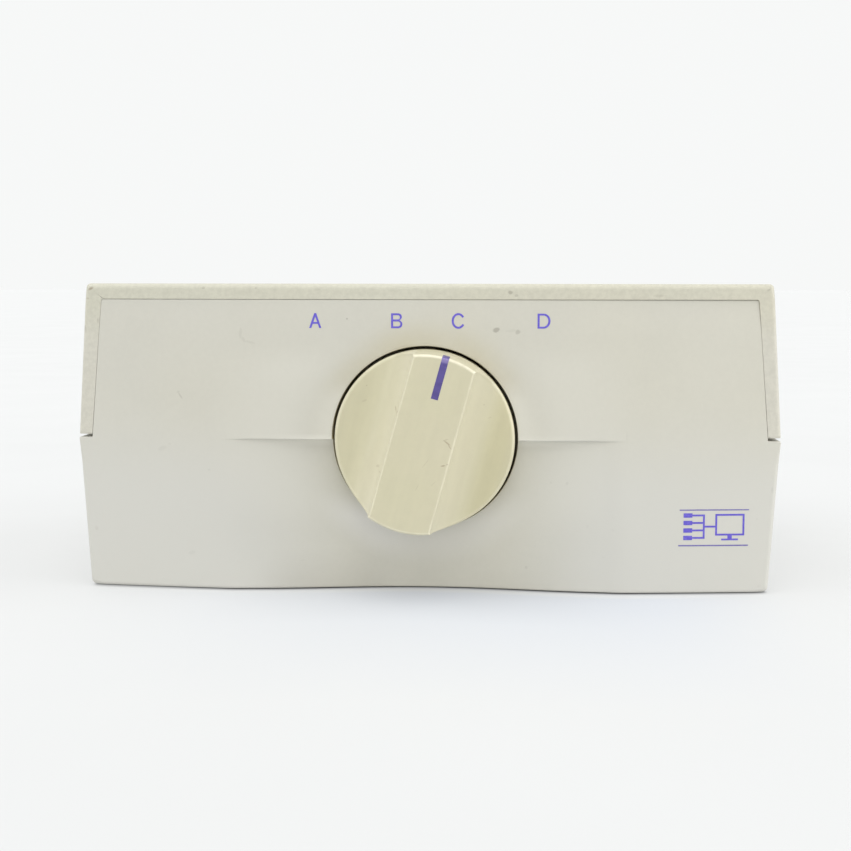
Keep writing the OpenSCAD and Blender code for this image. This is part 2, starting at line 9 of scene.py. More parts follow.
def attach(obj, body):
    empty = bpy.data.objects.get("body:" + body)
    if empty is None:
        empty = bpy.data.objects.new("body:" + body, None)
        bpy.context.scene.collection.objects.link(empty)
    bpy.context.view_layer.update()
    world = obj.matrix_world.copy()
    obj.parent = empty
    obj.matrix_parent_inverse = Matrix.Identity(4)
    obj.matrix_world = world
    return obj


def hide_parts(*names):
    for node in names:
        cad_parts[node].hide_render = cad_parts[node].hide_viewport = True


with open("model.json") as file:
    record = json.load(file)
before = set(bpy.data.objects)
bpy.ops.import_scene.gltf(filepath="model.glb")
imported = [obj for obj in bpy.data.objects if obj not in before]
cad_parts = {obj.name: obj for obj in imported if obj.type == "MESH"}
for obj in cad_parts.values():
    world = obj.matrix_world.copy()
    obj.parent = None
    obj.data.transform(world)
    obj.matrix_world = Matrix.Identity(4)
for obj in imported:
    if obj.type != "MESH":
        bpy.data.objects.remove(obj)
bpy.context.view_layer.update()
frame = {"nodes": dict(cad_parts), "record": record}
nodes = frame["nodes"]
scene = bpy.context.scene

# ------------------------------------------------------------------ sizes
# Millimetres. y is measured from the front corners of the case, and YO takes it to the frame's origin.
YO = -44.6
BODY_W, BODY_W_END, BODY_D = 159.98, 155.4, 105.8
Z0, ZTOP, ZSPLIT = 0.5, 70.0, 35.2
ZGL, ZGH = 34.85, 35.55
WALL, FLOOR_T, ROOF = 2.9, 2.4, 3.5
GAP, GAP_LOW, GAP_HIGH = 0.06, 0.02, 0.04
# wall of the cover at its lower edge and under the roof; the left one came out thicker
WALL_L, WALL_R = (3.2, 3.85), (3.0, 3.6)
BOW = 5.2
BOW_R = (BODY_W ** 2 / 4 + BOW ** 2) / (2 * BOW)
ZK = 35.28
ZC = ZK
SCOOP_D, SCOOP_W, SCOOP_TOP = 6.4, 51.0, 0.625
WELL_R = 20.9
KNOB_R, H_RIM, H_BAR, BAR_HW = 20.2, 6.5, 18.17, 6.85
TOP_R = KNOB_R - 0.55
POINT_DEG = 15.5
Y_PAN = 102.2
SOCKETS = [(52.5, 21.0), (17.5, 21.0), (-17.5, 21.0), (-52.5, 21.0), (0.0, 49.0)]


def mm(p):
    return (p[0] * 0.001, (p[1] + YO) * 0.001, p[2] * 0.001)


def hw(z):
    if z < ZSPLIT:
        return BODY_W_END / 2 + (BODY_W - BODY_W_END) / 2 * (z - Z0) / (ZSPLIT - Z0)
    return BODY_W / 2 - (BODY_W - BODY_W_END) / 2 * (z - ZSPLIT) / (ZTOP - ZSPLIT)


def bow_y(x):
    return BOW_R - BOW - math.sqrt(BOW_R ** 2 - x * x)


def step(a, b, x):
    t = min(1.0, max(0.0, (x - a) / (b - a)))
    return t * t * (3 - 2 * t)


def scoop(x, z):
    """Depth of the finger scoop: fades out on both sides and is deeper towards the table."""
    ends = step(-46.5, -40.0, x) * (1.0 - step(40.0, 45.6, x))
    if ends <= 0:
        return 0.0
    low = min(1.0, max(0.0, (ZC - z) / (ZC - Z0)))
    return SCOOP_D * math.cos(math.pi / 2 * x / SCOOP_W) ** 2 * ends * (SCOOP_TOP + (1 - SCOOP_TOP) * low)


def panel_y(x, z):
    """The panel sits a touch behind the cover's edge at the top, most of all on the right."""
    return bow_y(x) + step(58.0, 66.0, z) * (0.08 + 0.22 * step(10.0, 74.0, x))


def rounded(pts, radii, n=6):
    """Polygon with each corner rounded to its own radius."""
    out = []
    k = len(pts)
    for i in range(k):
        p0, p1, p2, r = Vector(pts[i - 1]), Vector(pts[i]), Vector(pts[(i + 1) % k]), radii[i]
        if r <= 0:
            out.append(tuple(p1))
            continue
        a, b = (p0 - p1).normalized(), (p2 - p1).normalized()
        ang = math.acos(max(-1, min(1, a.dot(b))))
        t = r / math.tan(ang / 2)
        c = p1 + (a + b).normalized() * (r / math.sin(ang / 2))
        s, e = p1 + a * t - c, p1 + b * t - c
        a0, a1 = math.atan2(s.y, s.x), math.atan2(e.y, e.x)
        d = (a1 - a0 + math.pi) % (2 * math.pi) - math.pi
        for j in range(n + 1):
            out.append((c.x + r * math.cos(a0 + d * j / n), c.y + r * math.sin(a0 + d * j / n)))
    return out


def subdivided(pts, step):
    out = []
    for i, p in enumerate(pts):
        q = pts[(i + 1) % len(pts)]
        d = math.hypot(q[0] - p[0], q[1] - p[1])
        n = max(1, math.ceil(d / step))
        for j in range(n):
            out.append((p[0] + (q[0] - p[0]) * j / n, p[1] + (q[1] - p[1]) * j / n))
    return out


class Build:
    """Collects vertices in millimetres and faces, then makes one object."""

    def __init__(self):
        self.v, self.f, self.m = [], [], []

    def ring(self, pts):
        i = len(self.v)
        self.v.extend(pts)
        return list(range(i, i + len(pts)))

    def face(self, idx, m=0):
        self.f.append(tuple(idx))
        self.m.append(m)

    def strip(self, a, b, closed=True, m=0):
        n = len(a)
        for i in range(n if closed else n - 1):
            j = (i + 1) % n
            q = [a[i], a[j], b[j], b[i]]
            q = [x for k, x in enumerate(q) if x not in q[:k]]
            if len(q) > 2:
                self.face(q, m)

    def fan(self, ring, centre, m=0):
        n = len(ring)
        for i in range(n):
            self.face((ring[i], ring[(i + 1) % n], centre), m)

    def make(self, name, mats, angle=32.0, weighted=True):
        me = bpy.data.meshes.new(name)
        me.from_pydata([mm(p) for p in self.v], [], self.f)
        for p, m in zip(me.polygons, self.m):
            p.material_index = m
        return finish_mesh(name, me, mats, angle, weighted)


def finish_mesh(name, me, mats, angle=32.0, weighted=True):
    bm = bmesh.new()
    bm.from_mesh(me)
    bmesh.ops.remove_doubles(bm, verts=bm.verts, dist=1e-7)
    bmesh.ops.recalc_face_normals(bm, faces=bm.faces)
    bm.to_mesh(me)
    bm.free()
    for m in mats:
        me.materials.append(m)
    me.polygons.foreach_set("use_smooth", [True] * len(me.polygons))
    me.set_sharp_from_angle(angle=math.radians(angle))
    me.update()
    o = bpy.data.objects.new(name, me)
    scene.collection.objects.link(o)
    if weighted:
        w = o.modifiers.new("normals", "WEIGHTED_NORMAL")
        w.keep_sharp = True
        w.weight = 60
    return o


def joined(name, objs):
    """One object out of several, with their meshes as separate closed shells."""
    bm = bmesh.new()
    mats, n0 = [], 0
    for o in objs:
        me = o.data
        table = []
        for m in me.materials:
            if m not in mats:
                mats.append(m)
            table.append(mats.index(m))
        bm.from_mesh(me)
        bm.faces.ensure_lookup_table()
        for f in bm.faces[n0:]:
            f.material_index = table[f.material_index]
        n0 = len(bm.faces)
    me = bpy.data.meshes.new(name)
    bm.to_mesh(me)
    bm.free()
    for o in objs:
        old = o.data
        bpy.data.objects.remove(o)
        bpy.data.meshes.remove(old)
    return finish_mesh(name, me, mats)


def cut(o, cutters):
    """Subtracts closed meshes from o for good."""
    for c in cutters:
        m = o.modifiers.new("cut", "BOOLEAN")
        m.operation, m.object = "DIFFERENCE", c
        m.solver = "EXACT"
    bpy.context.view_layer.update()
    e = o.evaluated_get(bpy.context.evaluated_depsgraph_get())
    me = bpy.data.meshes.new_from_object(e)
    old = o.data
    o.modifiers.clear()
    o.data = me
    bpy.data.meshes.remove(old)
    for c in cutters:
        d = c.data
        bpy.data.objects.remove(c)
        bpy.data.meshes.remove(d)
    return o


# ------------------------------------------------------------------ materials
def srgb(r, g, b):
    def f(c):
        c /= 255.0
        return c / 12.92 if c <= 0.04045 else ((c + 0.055) / 1.055) ** 2.4
    return (f(r), f(g), f(b), 1.0)


class Mat:
    """A small helper to wire procedural materials."""

    def __init__(self, name):
        self.mat = bpy.data.materials.new(name)
        self.mat.use_nodes = True
        self.nt = self.mat.node_tree
        self.bsdf = next(n for n in self.nt.nodes if n.type == "BSDF_PRINCIPLED")
        self.co = self.nt.nodes.new("ShaderNodeTexCoord").outputs["Object"]

    def node(self, kind, **props):
        n = self.nt.nodes.new(kind)
        for k, v in props.items():
            setattr(n, k, v)
        return n

    def link(self, a, b):
        self.nt.links.new(a, b)

    def noise(self, scale, detail=2.0, rough=0.5, co=None, dist=0.0):
        n = self.node("ShaderNodeTexNoise")
        n.inputs["Scale"].default_value = scale
        n.inputs["Detail"].default_value = detail
        n.inputs["Roughness"].default_value = rough
        n.inputs["Distortion"].default_value = dist
        self.link(co or self.co, n.inputs["Vector"])
        return n.outputs["Fac"]

    def ramp(self, fac, lo, hi, a=0.0, b=1.0, smooth=True):
        n = self.node("ShaderNodeMapRange", interpolation_type="SMOOTHSTEP" if smooth else "LINEAR")
        self.link(fac, n.inputs["Value"])
        n.inputs["From Min"].default_value, n.inputs["From Max"].default_value = lo, hi
        n.inputs["To Min"].default_value, n.inputs["To Max"].default_value = a, b
        return n.outputs["Result"]

    def math(self, op, a, b=None, c=None):
        n = self.node("ShaderNodeMath", operation=op)
        for i, x in enumerate((a, b, c)):
            if x is None:
                continue
            if isinstance(x, (int, float)):
                n.inputs[i].default_value = x
            else:
                self.link(x, n.inputs[i])
        return n.outputs[0]

    def mix(self, fac, a, b, blend="MIX"):
        n = self.node("ShaderNodeMix", data_type="RGBA", blend_type=blend)
        for s, x in ((n.inputs[0], fac), (n.inputs[6], a), (n.inputs[7], b)):
            if isinstance(x, (int, float, tuple)):
                s.default_value = x
            else:
                self.link(x, s)
        return n.outputs[2]

    def moved(self, rot=(0, 0, 0), scale=(1, 1, 1), loc=(0, 0, 0)):
        n = self.node("ShaderNodeMapping")
        n.inputs["Location"].default_value = loc
        n.inputs["Rotation"].default_value = rot
        n.inputs["Scale"].default_value = scale
        self.link(self.co, n.inputs["Vector"])
        return n.outputs["Vector"]

    def spot(self, centre_mm, size_mm, edge=0.5, rot=0.0, wobble=0.35, grain=900.0):
        """Mask of one small mark, an ellipse in X and Z about a point of the surface."""
        c = mm(centre_mm)
        d = self.node("ShaderNodeVectorMath", operation="SUBTRACT")
        self.link(self.co, d.inputs[0])
        d.inputs[1].default_value = c
        m = self.node("ShaderNodeMapping")
        m.inputs["Rotation"].default_value = (0, rot, 0)
        self.link(d.outputs[0], m.inputs["Vector"])
        s = self.node("ShaderNodeVectorMath", operation="MULTIPLY")
        self.link(m.outputs[0], s.inputs[0])
        s.inputs[1].default_value = (1000.0 / size_mm[0], 1000.0 / 40.0, 1000.0 / size_mm[1])
        ln = self.node("ShaderNodeVectorMath", operation="LENGTH")
        self.link(s.outputs[0], ln.inputs[0])
        f = self.math("MULTIPLY_ADD", self.noise(grain, 2.0), wobble * 2, ln.outputs["Value"])
        return self.ramp(f, 1.0 + wobble - edge, 1.0 + wobble + edge * 0.2, 1.0, 0.0)

    def bump(self, height, strength, distance, chain=None):
        n = self.node("ShaderNodeBump")
        n.inputs["Strength"].default_value = strength
        n.inputs["Distance"].default_value = distance
        self.link(height, n.inputs["Height"])
        if chain is not None:
            self.link(chain, n.inputs["Normal"])
        return n.outputs["Normal"]

    def out(self, color=None, rough=None, normal=None, metallic=0.0, **consts):
        b = self.bsdf.inputs
        if isinstance(color, tuple):
            b["Base Color"].default_value = color
        elif color is not None:
            self.link(color, b["Base Color"])
        if isinstance(rough, (int, float)):
            b["Roughness"].default_value = rough
        elif rough is not None:
            self.link(rough, b["Roughness"])
        if normal is not None:
            self.link(normal, b["Normal"])
        b["Metallic"].default_value = metallic
        for k, v in consts.items():
            b[k.replace("_", " ")].default_value = v
        return self.mat


def case_material(name, base, aged, marks):
    m = Mat(name)
    broad = m.noise(9.0, 3.0, 0.55)
    mid = m.noise(55.0, 3.0, 0.6)
    fine = m.noise(900.0, 2.0, 0.6)
    c = m.mix(m.ramp(broad, 0.3, 0.72), base, aged)
    shade = m.math("ADD", m.ramp(mid, 0.25, 0.75, -0.014, 0.014), m.ramp(fine, 0.2, 0.8, -0.012, 0.012))
    hsv = m.node("ShaderNodeHueSaturation")
    m.link(m.math("ADD", shade, 1.0), hsv.inputs["Value"])
    m.link(c, hsv.inputs["Color"])
    c = hsv.outputs["Color"]
    # faint handling marks: long thin rubs
    rubs_and_painted_light = m.noise(60.0, 4.0, 0.7, m.moved((0, 0.5, 0), (1.0, 1.0, 6.0)), 0.4)
    c = m.mix(m.ramp(rubs_and_painted_light, 0.70, 0.80, 0.0, 0.10), c, srgb(158, 154, 142))
    # specks of dirt in the grain
    vor = m.node("ShaderNodeTexVoronoi", feature="F1")
    vor.inputs["Scale"].default_value = 95.0
    m.link(m.co, vor.inputs["Vector"])
    pick = m.node("ShaderNodeSeparateColor")
    m.link(vor.outputs["Color"], pick.inputs[0])
    speck = m.math("MULTIPLY", m.ramp(vor.outputs["Distance"], 0.03, 0.075, 1.0, 0.0), m.ramp(pick.outputs[0], 0.88, 0.93))
    c = m.mix(m.math("MULTIPLY", speck, 0.35), c, srgb(120, 112, 98))
    for centre, size, rot, colour, amount in marks:
        c = m.mix(m.math("MULTIPLY", m.spot(centre, size, rot=rot), amount), c, colour)
    rough = m.ramp(mid, 0.3, 0.7, 0.46, 0.56)
    n = m.bump(m.noise(3400.0, 2.0, 0.55), 0.10, 0.0001)
    n = m.bump(m.noise(700.0, 2.0, 0.5), 0.05, 0.00015, n)
    return m, c, rough, n


BEIGE = srgb(191, 189, 179)
BEIGE_AGED = srgb(192, 189, 176)
BEIGE_LOW = srgb(195, 194, 188)
COVER = srgb(189, 187, 172)
COVER_AGED = srgb(190, 186, 169)
DIRT = srgb(120, 114, 102)
BROWN = srgb(120, 100, 74)


def on_front(x, z):
    return (x, bow_y(x), z)


m, c, r, n = case_material("lower_case_plastic", BEIGE, BEIGE_AGED, [
    (on_front(15.9, 59.8), (0.85, 0.58), 0.5, DIRT, 0.46),
    (on_front(20.7, 59.3), (0.75, 0.60), 0.4, DIRT, 0.32),
    (on_front(19.2, 59.6), (1.4, 0.4), 0.1, DIRT, 0.08),
    (on_front(-41.6, 59.0), (0.40, 1.5), -0.05, DIRT, 0.11),
    (on_front(-40.9, 57.4), (0.40, 0.8), 0.6, DIRT, 0.11),
    (on_front(-39.5, 56.9), (1.4, 0.36), -0.25, DIRT, 0.11),
    (on_front(-55.7, 44.6), (0.24, 1.0), 0.6, DIRT, 0.24),
    (on_front(-56.2, 45.5), (0.45, 0.35), 0.0, DIRT, 0.14),
    (on_front(-60.1, 32.6), (1.3, 0.6), 0.3, DIRT, 0.13),
    (on_front(-58.4, 33.6), (0.5, 0.3), 0.0, DIRT, 0.10),
    (on_front(-17.4, 62.2), (0.26, 0.24), 0.0, DIRT, 0.42),
    (on_front(32.0, 25.3), (0.34, 0.42), -0.4, DIRT, 0.32),
    (on_front(28.4, 25.4), (0.28, 0.34), 0.0, DIRT, 0.20),
    (on_front(36.7, 15.6), (0.44, 0.44), 0.0, DIRT, 0.17),
    (on_front(42.3, 14.9), (0.46, 0.48), 0.0, DIRT, 0.20),
    (on_front(40.4, 8.6), (0.55, 0.28), 0.1, DIRT, 0.14),
    (on_front(23.0, 5.7), (0.45, 0.40), -0.5, DIRT, 0.20),
    (on_front(74.9, 17.3), (0.30, 0.34), 0.0, DIRT, 0.30),
    (on_front(78.2, 23.8), (0.28, 0.9), 0.0, DIRT, 0.42),
    (on_front(75.6, 1.9), (0.7, 0.4), 0.2, BROWN, 0.20),
    (on_front(45.2, 36.1), (0.12, 1.6), 0.0, DIRT, 0.13),
    (on_front(-76.2, 13.7), (0.5, 0.6), 0.4, BROWN, 0.34),
    (on_front(-53.5, 8.6), (0.95, 0.5), 0.3, DIRT, 0.28),
    (on_front(-41.5, 18.8), (0.24, 0.24), 0.0, DIRT, 0.18),
    (on_front(-49.2, 27.8), (0.30, 0.28), 0.0, DIRT, 0.26),
    (on_front(-28.0, 7.0), (0.7, 0.25), 0.2, DIRT, 0.10),
])
# the lower half has yellowed less; towards the middle of the scoop this paler tone fades out, which paints the scoop
# darker there (painted shade) and its sides lighter (painted light)
z_ = m.node("ShaderNodeSeparateXYZ")
m.link(m.co, z_.inputs[0])
front_ = m.ramp(z_.outputs[1], (YO + 2.1) * 0.001, (YO + 4.1) * 0.001, 1.0, 0.0)
aside = m.math("MAXIMUM", m.ramp(m.math("ABSOLUTE", z_.outputs[0]), 0.014, 0.042), m.math("SUBTRACT", 1.0, front_))
low_ = m.math("MULTIPLY", m.ramp(z_.outputs[2], 0.020, 0.046, 0.75, 0.0), aside)
c = m.mix(low_, c, BEIGE_LOW)
# warm tint round the knob's well, strongest at its rim and above the knob: partly grime, partly painted light reflected
# from the yellow knob
d = m.node("ShaderNodeVectorMath", operation="SUBTRACT")
m.link(m.co, d.inputs[0])
d.inputs[1].default_value = (0.0, 0.0, ZK * 0.001)
flat = m.node("ShaderNodeVectorMath", operation="MULTIPLY")
m.link(d.outputs[0], flat.inputs[0])
flat.inputs[1].default_value = (1.0, 0.0, 1.0)
ln = m.node("ShaderNodeVectorMath", operation="LENGTH")
m.link(flat.outputs[0], ln.inputs[0])
halo = m.ramp(ln.outputs["Value"], 0.0208, 0.0285, 1.0, 0.0)
up = m.node("ShaderNodeSeparateXYZ")
m.link(d.outputs[0], up.inputs[0])
halo = m.math("MULTIPLY", halo, m.ramp(up.outputs[2], 0.006, 0.020, 0.15, 1.0))
c = m.mix(m.math("MULTIPLY", halo, m.ramp(m.noise(70.0, 3.0), 0.3, 0.7, 0.20, 0.50)), c, srgb(178, 169, 136))
# painted light round the knob and along the crease, offsetting their shade, and painted shade along the foot of the
# scoop
fx_, fz_ = z_.outputs[0], z_.outputs[2]
# a paler patch below the knob, stronger on the left: painted light over the knob's shadow
under = m.math("MULTIPLY", m.ramp(ln.outputs["Value"], 0.0228, 0.0310, 1.0, 0.0), m.ramp(up.outputs[2], -0.0200, -0.0110, 1.0, 0.0))
under = m.math("MULTIPLY", under, m.ramp(fx_, -0.014, 0.001, 0.85, 0.44))
c = m.mix(m.math("MULTIPLY", under, front_), c, srgb(214, 212, 207))
# a paler band just under the crease and a thinner one just above it, out to about 43 mm from the middle: painted light
# over the step's shade and a painted highlight on its edge
reach = m.ramp(m.math("ABSOLUTE", fx_), 0.021, 0.043, 1.0, 0.0)
crease_painted_light = m.math("MULTIPLY", m.ramp(up.outputs[2], -0.0023, -0.0002), m.ramp(up.outputs[2], -0.0002, 0.0002, 1.0, 0.0))
crease_painted_light = m.math("ADD", m.math("MULTIPLY", crease_painted_light, 0.95),
               m.math("MULTIPLY", m.ramp(fx_, -0.002, 0.002, 0.34, 0.14), m.math("MULTIPLY", m.ramp(up.outputs[2], -0.0002, 0.0002), m.ramp(up.outputs[2], 0.0003, 0.0012, 1.0, 0.0))))
c = m.mix(m.math("MULTIPLY", m.math("MULTIPLY", crease_painted_light, reach), front_), c, srgb(220, 218, 208))
# a paler ring just round the knob, from a little below its middle to above it: painted light over the knob's shade
near = m.math("MULTIPLY", m.ramp(ln.outputs["Value"], 0.0215, 0.0270, 0.34, 0.0), m.ramp(up.outputs[2], -0.004, 0.001))
near = m.math("MULTIPLY", near, m.ramp(up.outputs[2], 0.008, 0.014, 1.0, 0.0))
c = m.mix(m.math("MULTIPLY", near, front_), c, srgb(214, 212, 202))
# a wider paler zone round the knob, stronger on the left: painted light
around_knob_painted_light = m.math("MULTIPLY", m.ramp(ln.outputs["Value"], 0.033, 0.052, 1.0, 0.0), m.ramp(fz_, 0.008, 0.022))
around_knob_painted_light = m.math("MULTIPLY", around_knob_painted_light, m.ramp(m.math("ABSOLUTE", fx_), 0.012, 0.022))
around_knob_painted_light = m.math("MULTIPLY", around_knob_painted_light, m.ramp(ln.outputs["Value"], 0.022, 0.033, 0.0, 1.0))
around_knob_painted_light = m.math("MULTIPLY", around_knob_painted_light, m.ramp(fz_, 0.050, 0.058, 1.0, 0.0))
around_knob_painted_light = m.math("MULTIPLY", around_knob_painted_light, m.ramp(fx_, -0.002, 0.002, 0.40, 0.28))
c = m.mix(m.math("MULTIPLY", around_knob_painted_light, front_), c, srgb(206, 204, 194))
# darker along the foot of the scoop, more on the left: painted shade
scoop_foot_painted_shade = m.math("MULTIPLY", m.ramp(fx_, -0.042, -0.028), m.ramp(fx_, -0.014, -0.005, 1.0, 0.0))
scoop_foot_painted_shade = m.math("ADD", scoop_foot_painted_shade, m.math("MULTIPLY", m.ramp(fx_, 0.005, 0.014, 0.0, 0.3), m.ramp(fx_, 0.024, 0.036, 1.0, 0.0)))
scoop_foot_painted_shade = m.math("MULTIPLY", scoop_foot_painted_shade, m.ramp(fz_, 0.0010, 0.0100, 0.21, 0.0, False))
c = m.mix(m.math("MULTIPLY", scoop_foot_painted_shade, front_), c, srgb(122, 118, 108))
MAT_LOWER = m.out(c, r, n, Specular_IOR_Level=0.42)

# inside of the well: a yellowed tone, paler than the case, that lifts the shade in the gap round the knob: painted
# light
m = Mat("well_painted_light")
c = m.mix(m.ramp(m.noise(140.0, 4.0, 0.65), 0.3, 0.7), srgb(206, 196, 170), srgb(188, 178, 152))
MAT_WELL_PAINTED_LIGHT = m.out(c, m.ramp(m.noise(300.0, 3.0), 0.3, 0.7, 0.6, 0.75), m.bump(m.noise(1500.0, 3.0), 0.15, 0.0001))

m, c, r, n = case_material("top_cover_plastic", COVER, COVER_AGED, [
    ((18.98, -4.8, 68.1), (0.62, 0.5), 0.0, DIRT, 0.45),
    ((20.3, -4.8, 67.4), (0.5, 0.35), 0.0, DIRT, 0.28),
    ((-76.5, -0.3, 68.8), (0.8, 0.35), 0.5, BROWN, 0.50),
    ((-77.3, -0.2, 66.6), (0.4, 0.3), 0.0, BROWN, 0.25),
    ((-78.0, -0.1, 59.6), (0.30, 1.1), 0.05, DIRT, 0.50),
    ((-50.0, -3.2, 69.0), (0.5, 0.3), 0.2, DIRT, 0.30),
    ((-38.0, -4.0, 69.0), (0.3, 0.25), 0.2, DIRT, 0.22),
    ((-24.0, -4.6, 68.7), (0.8, 0.25), 0.1, DIRT, 0.14),
    ((-74.9, -0.7, 61.6), (0.18, 0.9), 0.0, DIRT, 0.35),
    ((77.6, -0.4, 49.9), (1.3, 1.0), 0.2, DIRT, 0.15),
    ((77.2, -0.4, 50.3), (0.6, 0.4), 0.2, DIRT, 0.14),
    ((76.0, -0.5, 45.8), (0.14, 1.3), 0.0, BROWN, 0.30),
    ((52.0, -3.0, 67.4), (1.6, 0.35), 0.0, DIRT, 0.14),
])
sep = m.node("ShaderNodeSeparateXYZ")
m.link(m.co, sep.inputs[0])
# below the roof the cover is paler and bluer: painted light on its sides
c = m.mix(m.ramp(sep.outputs[2], 0.055, 0.066, 0.85, 0.0), c, srgb(191, 188, 177))
# the cover's skin has a coarser grain than the panel
grain = m.node("ShaderNodeHueSaturation")
m.link(m.ramp(m.noise(950.0, 3.0, 0.65), 0.25, 0.75, 0.945, 1.055), grain.inputs["Value"])
m.link(c, grain.inputs["Color"])
n = m.bump(m.noise(1100.0, 3.0, 0.6), 0.10, 0.00012, n)
MAT_COVER = m.out(grain.outputs["Color"], r, n, Specular_IOR_Level=0.42)

# knob: yellowed plastic, with another tone in the valleys beside the bar, yellower towards the right one's outer side
m = Mat("knob_plastic")
loc = m.moved((0, 0, 0), (1, 1, 1), (0, 0, -ZK * 0.001))
rot = m.node("ShaderNodeVectorRotate", rotation_type="Y_AXIS")
rot.inputs["Angle"].default_value = -math.radians(POINT_DEG)
m.link(loc, rot.inputs["Vector"])
sep = m.node("ShaderNodeSeparateXYZ")
m.link(rot.outputs["Vector"], sep.inputs[0])
au = m.math("ABSOLUTE", sep.outputs[0])
valley = m.math("MULTIPLY", m.ramp(au, 0.0085, 0.0145), m.ramp(au, 0.0170, 0.0203, 1.0, 0.35))
base = m.mix(m.ramp(m.noise(45.0, 3.0), 0.3, 0.7), srgb(191, 186, 158), srgb(193, 187, 161))
deep = m.mix(m.ramp(sep.outputs[0], 0.010, 0.016), srgb(194, 189, 160), srgb(191, 185, 151))
c = m.mix(m.math("MULTIPLY", valley, 0.8), base, deep)
# a paler band on the flanks just beside the bar, stronger on the left: painted light
rubs_and_painted_light = m.math("MULTIPLY", m.ramp(au, 0.0074, 0.0110, 1.0, 0.0), m.ramp(sep.outputs[0], -0.002, 0.002, 0.38, 0.20))
rubs_and_painted_light = m.math("MULTIPLY", rubs_and_painted_light, m.ramp(au, 0.0066, 0.0070))
c = m.mix(rubs_and_painted_light, c, srgb(226, 221, 200))
streak = m.node("ShaderNodeVectorMath", operation="MULTIPLY")
m.link(rot.outputs["Vector"], streak.inputs[0])
streak.inputs[1].default_value = (9.0, 1.0, 1.0)
tone = m.math("ADD", m.ramp(m.noise(420.0, 3.0, 0.6), 0.25, 0.75, -0.014, 0.014),
              m.ramp(m.noise(60.0, 3.0, 0.6, streak.outputs[0]), 0.25, 0.75, -0.016, 0.016))
hsv = m.node("ShaderNodeHueSaturation")
m.link(m.math("ADD", tone, 1.0), hsv.inputs["Value"])
m.link(c, hsv.inputs["Color"])
c = hsv.outputs["Color"]
# paler edges along the bar, round its ends (more at the upper end) and round the rim: painted highlights, with some
# polish from hands
rr = m.math("SQRT", m.math("ADD", m.math("POWER", sep.outputs[0], 2.0), m.math("POWER", sep.outputs[2], 2.0)))
high = m.ramp(sep.outputs[1], (YO - H_BAR + 0.4) * 0.001, (YO - H_BAR + 0.9) * 0.001, 1.0, 0.0)
low = m.ramp(sep.outputs[1], (YO - H_RIM - 1.6) * 0.001, (YO - H_RIM - 0.9) * 0.001)
along = m.math("MULTIPLY", m.ramp(m.math("ABSOLUTE", m.math("SUBTRACT", au, 0.00674)), 0.00014, 0.00040, 1.0, 0.0), high)
ends = m.math("MULTIPLY", m.ramp(rr, (TOP_R - 0.75) * 0.001, (TOP_R - 0.40) * 0.001), high)
rim = m.math("MULTIPLY", m.ramp(rr, (KNOB_R - 0.85) * 0.001, (KNOB_R - 0.50) * 0.001), low)
ends = m.math("MULTIPLY", ends, m.ramp(sep.outputs[2], -0.004, 0.004, 0.60, 0.75))
worn_and_painted_highlight = m.math("MAXIMUM", m.math("MULTIPLY", along, 0.30), m.math("MAXIMUM", ends, m.math("MULTIPLY", rim, 0.25)))
worn_and_painted_highlight = m.math("MULTIPLY", worn_and_painted_highlight, m.ramp(m.noise(240.0, 3.0, 0.6), 0.3, 0.7, 0.45, 1.0))
c = m.mix(worn_and_painted_highlight, c, srgb(232, 227, 204))
c = m.mix(m.ramp(m.noise(260.0, 4.0, 0.7, dist=0.5), 0.66, 0.80, 0.0, 0.16), c, srgb(150, 138, 108))
for centre, size, rotn, amount in [
    ((5.5, -18.0, 35.9), (0.20, 1.0), 0.9, 0.50),
    ((6.1, -18.0, 35.0), (0.16, 0.8), 0.6, 0.38),
    ((5.2, -18.0, 36.5), (0.7, 0.14), 0.3, 0.30),
    ((4.75, -18.0, 30.9), (0.65, 0.18), 0.2, 0.55),
    ((5.6, -18.0, 31.2), (0.25, 0.18), 0.2, 0.40),
    ((-5.9, -17.0, 42.8), (0.18, 0.7), 0.3, 0.45),
    ((-5.4, -17.0, 42.3), (0.14, 0.5), -0.5, 0.35),
    ((-12.9, -6.4, 47.4), (0.20, 0.18), 0.0, 0.30),
    ((-13.4, -6.4, 44.0), (0.7, 0.3), 0.4, 0.16),
    ((-10.0, -8.0, 30.0), (0.6, 0.35), 0.4, 0.22),
    ((-9.4, -8.0, 29.0), (0.3, 0.25), 0.0, 0.20),
    ((0.9, -18.2, 31.4), (1.3, 0.10), 0.9, 0.20),
    ((-0.9, -18.2, 26.2), (1.0, 0.10), 1.1, 0.18),
    ((2.6, -18.2, 27.0), (0.9, 0.09), 0.8, 0.14),
    ((13.3, -7.4, 43.4), (0.16, 0.2), 0.0, 0.28),
    ((14.6, -7.2, 40.4), (0.5, 0.2), 0.3, 0.14),
]:
    c = m.mix(m.math("MULTIPLY", m.spot(centre, size, rot=rotn, grain=1500.0), amount), c, srgb(132, 112, 88))
n = m.bump(m.noise(3000.0, 2.0, 0.5), 0.06, 0.0001)
n = m.bump(m.noise(140.0, 3.0, 0.6), 0.04, 0.0003, n)
MAT_KNOB = m.out(c, m.ramp(m.noise(120.0, 3.0), 0.3, 0.7, 0.34, 0.46), n, Specular_IOR_Level=0.5)

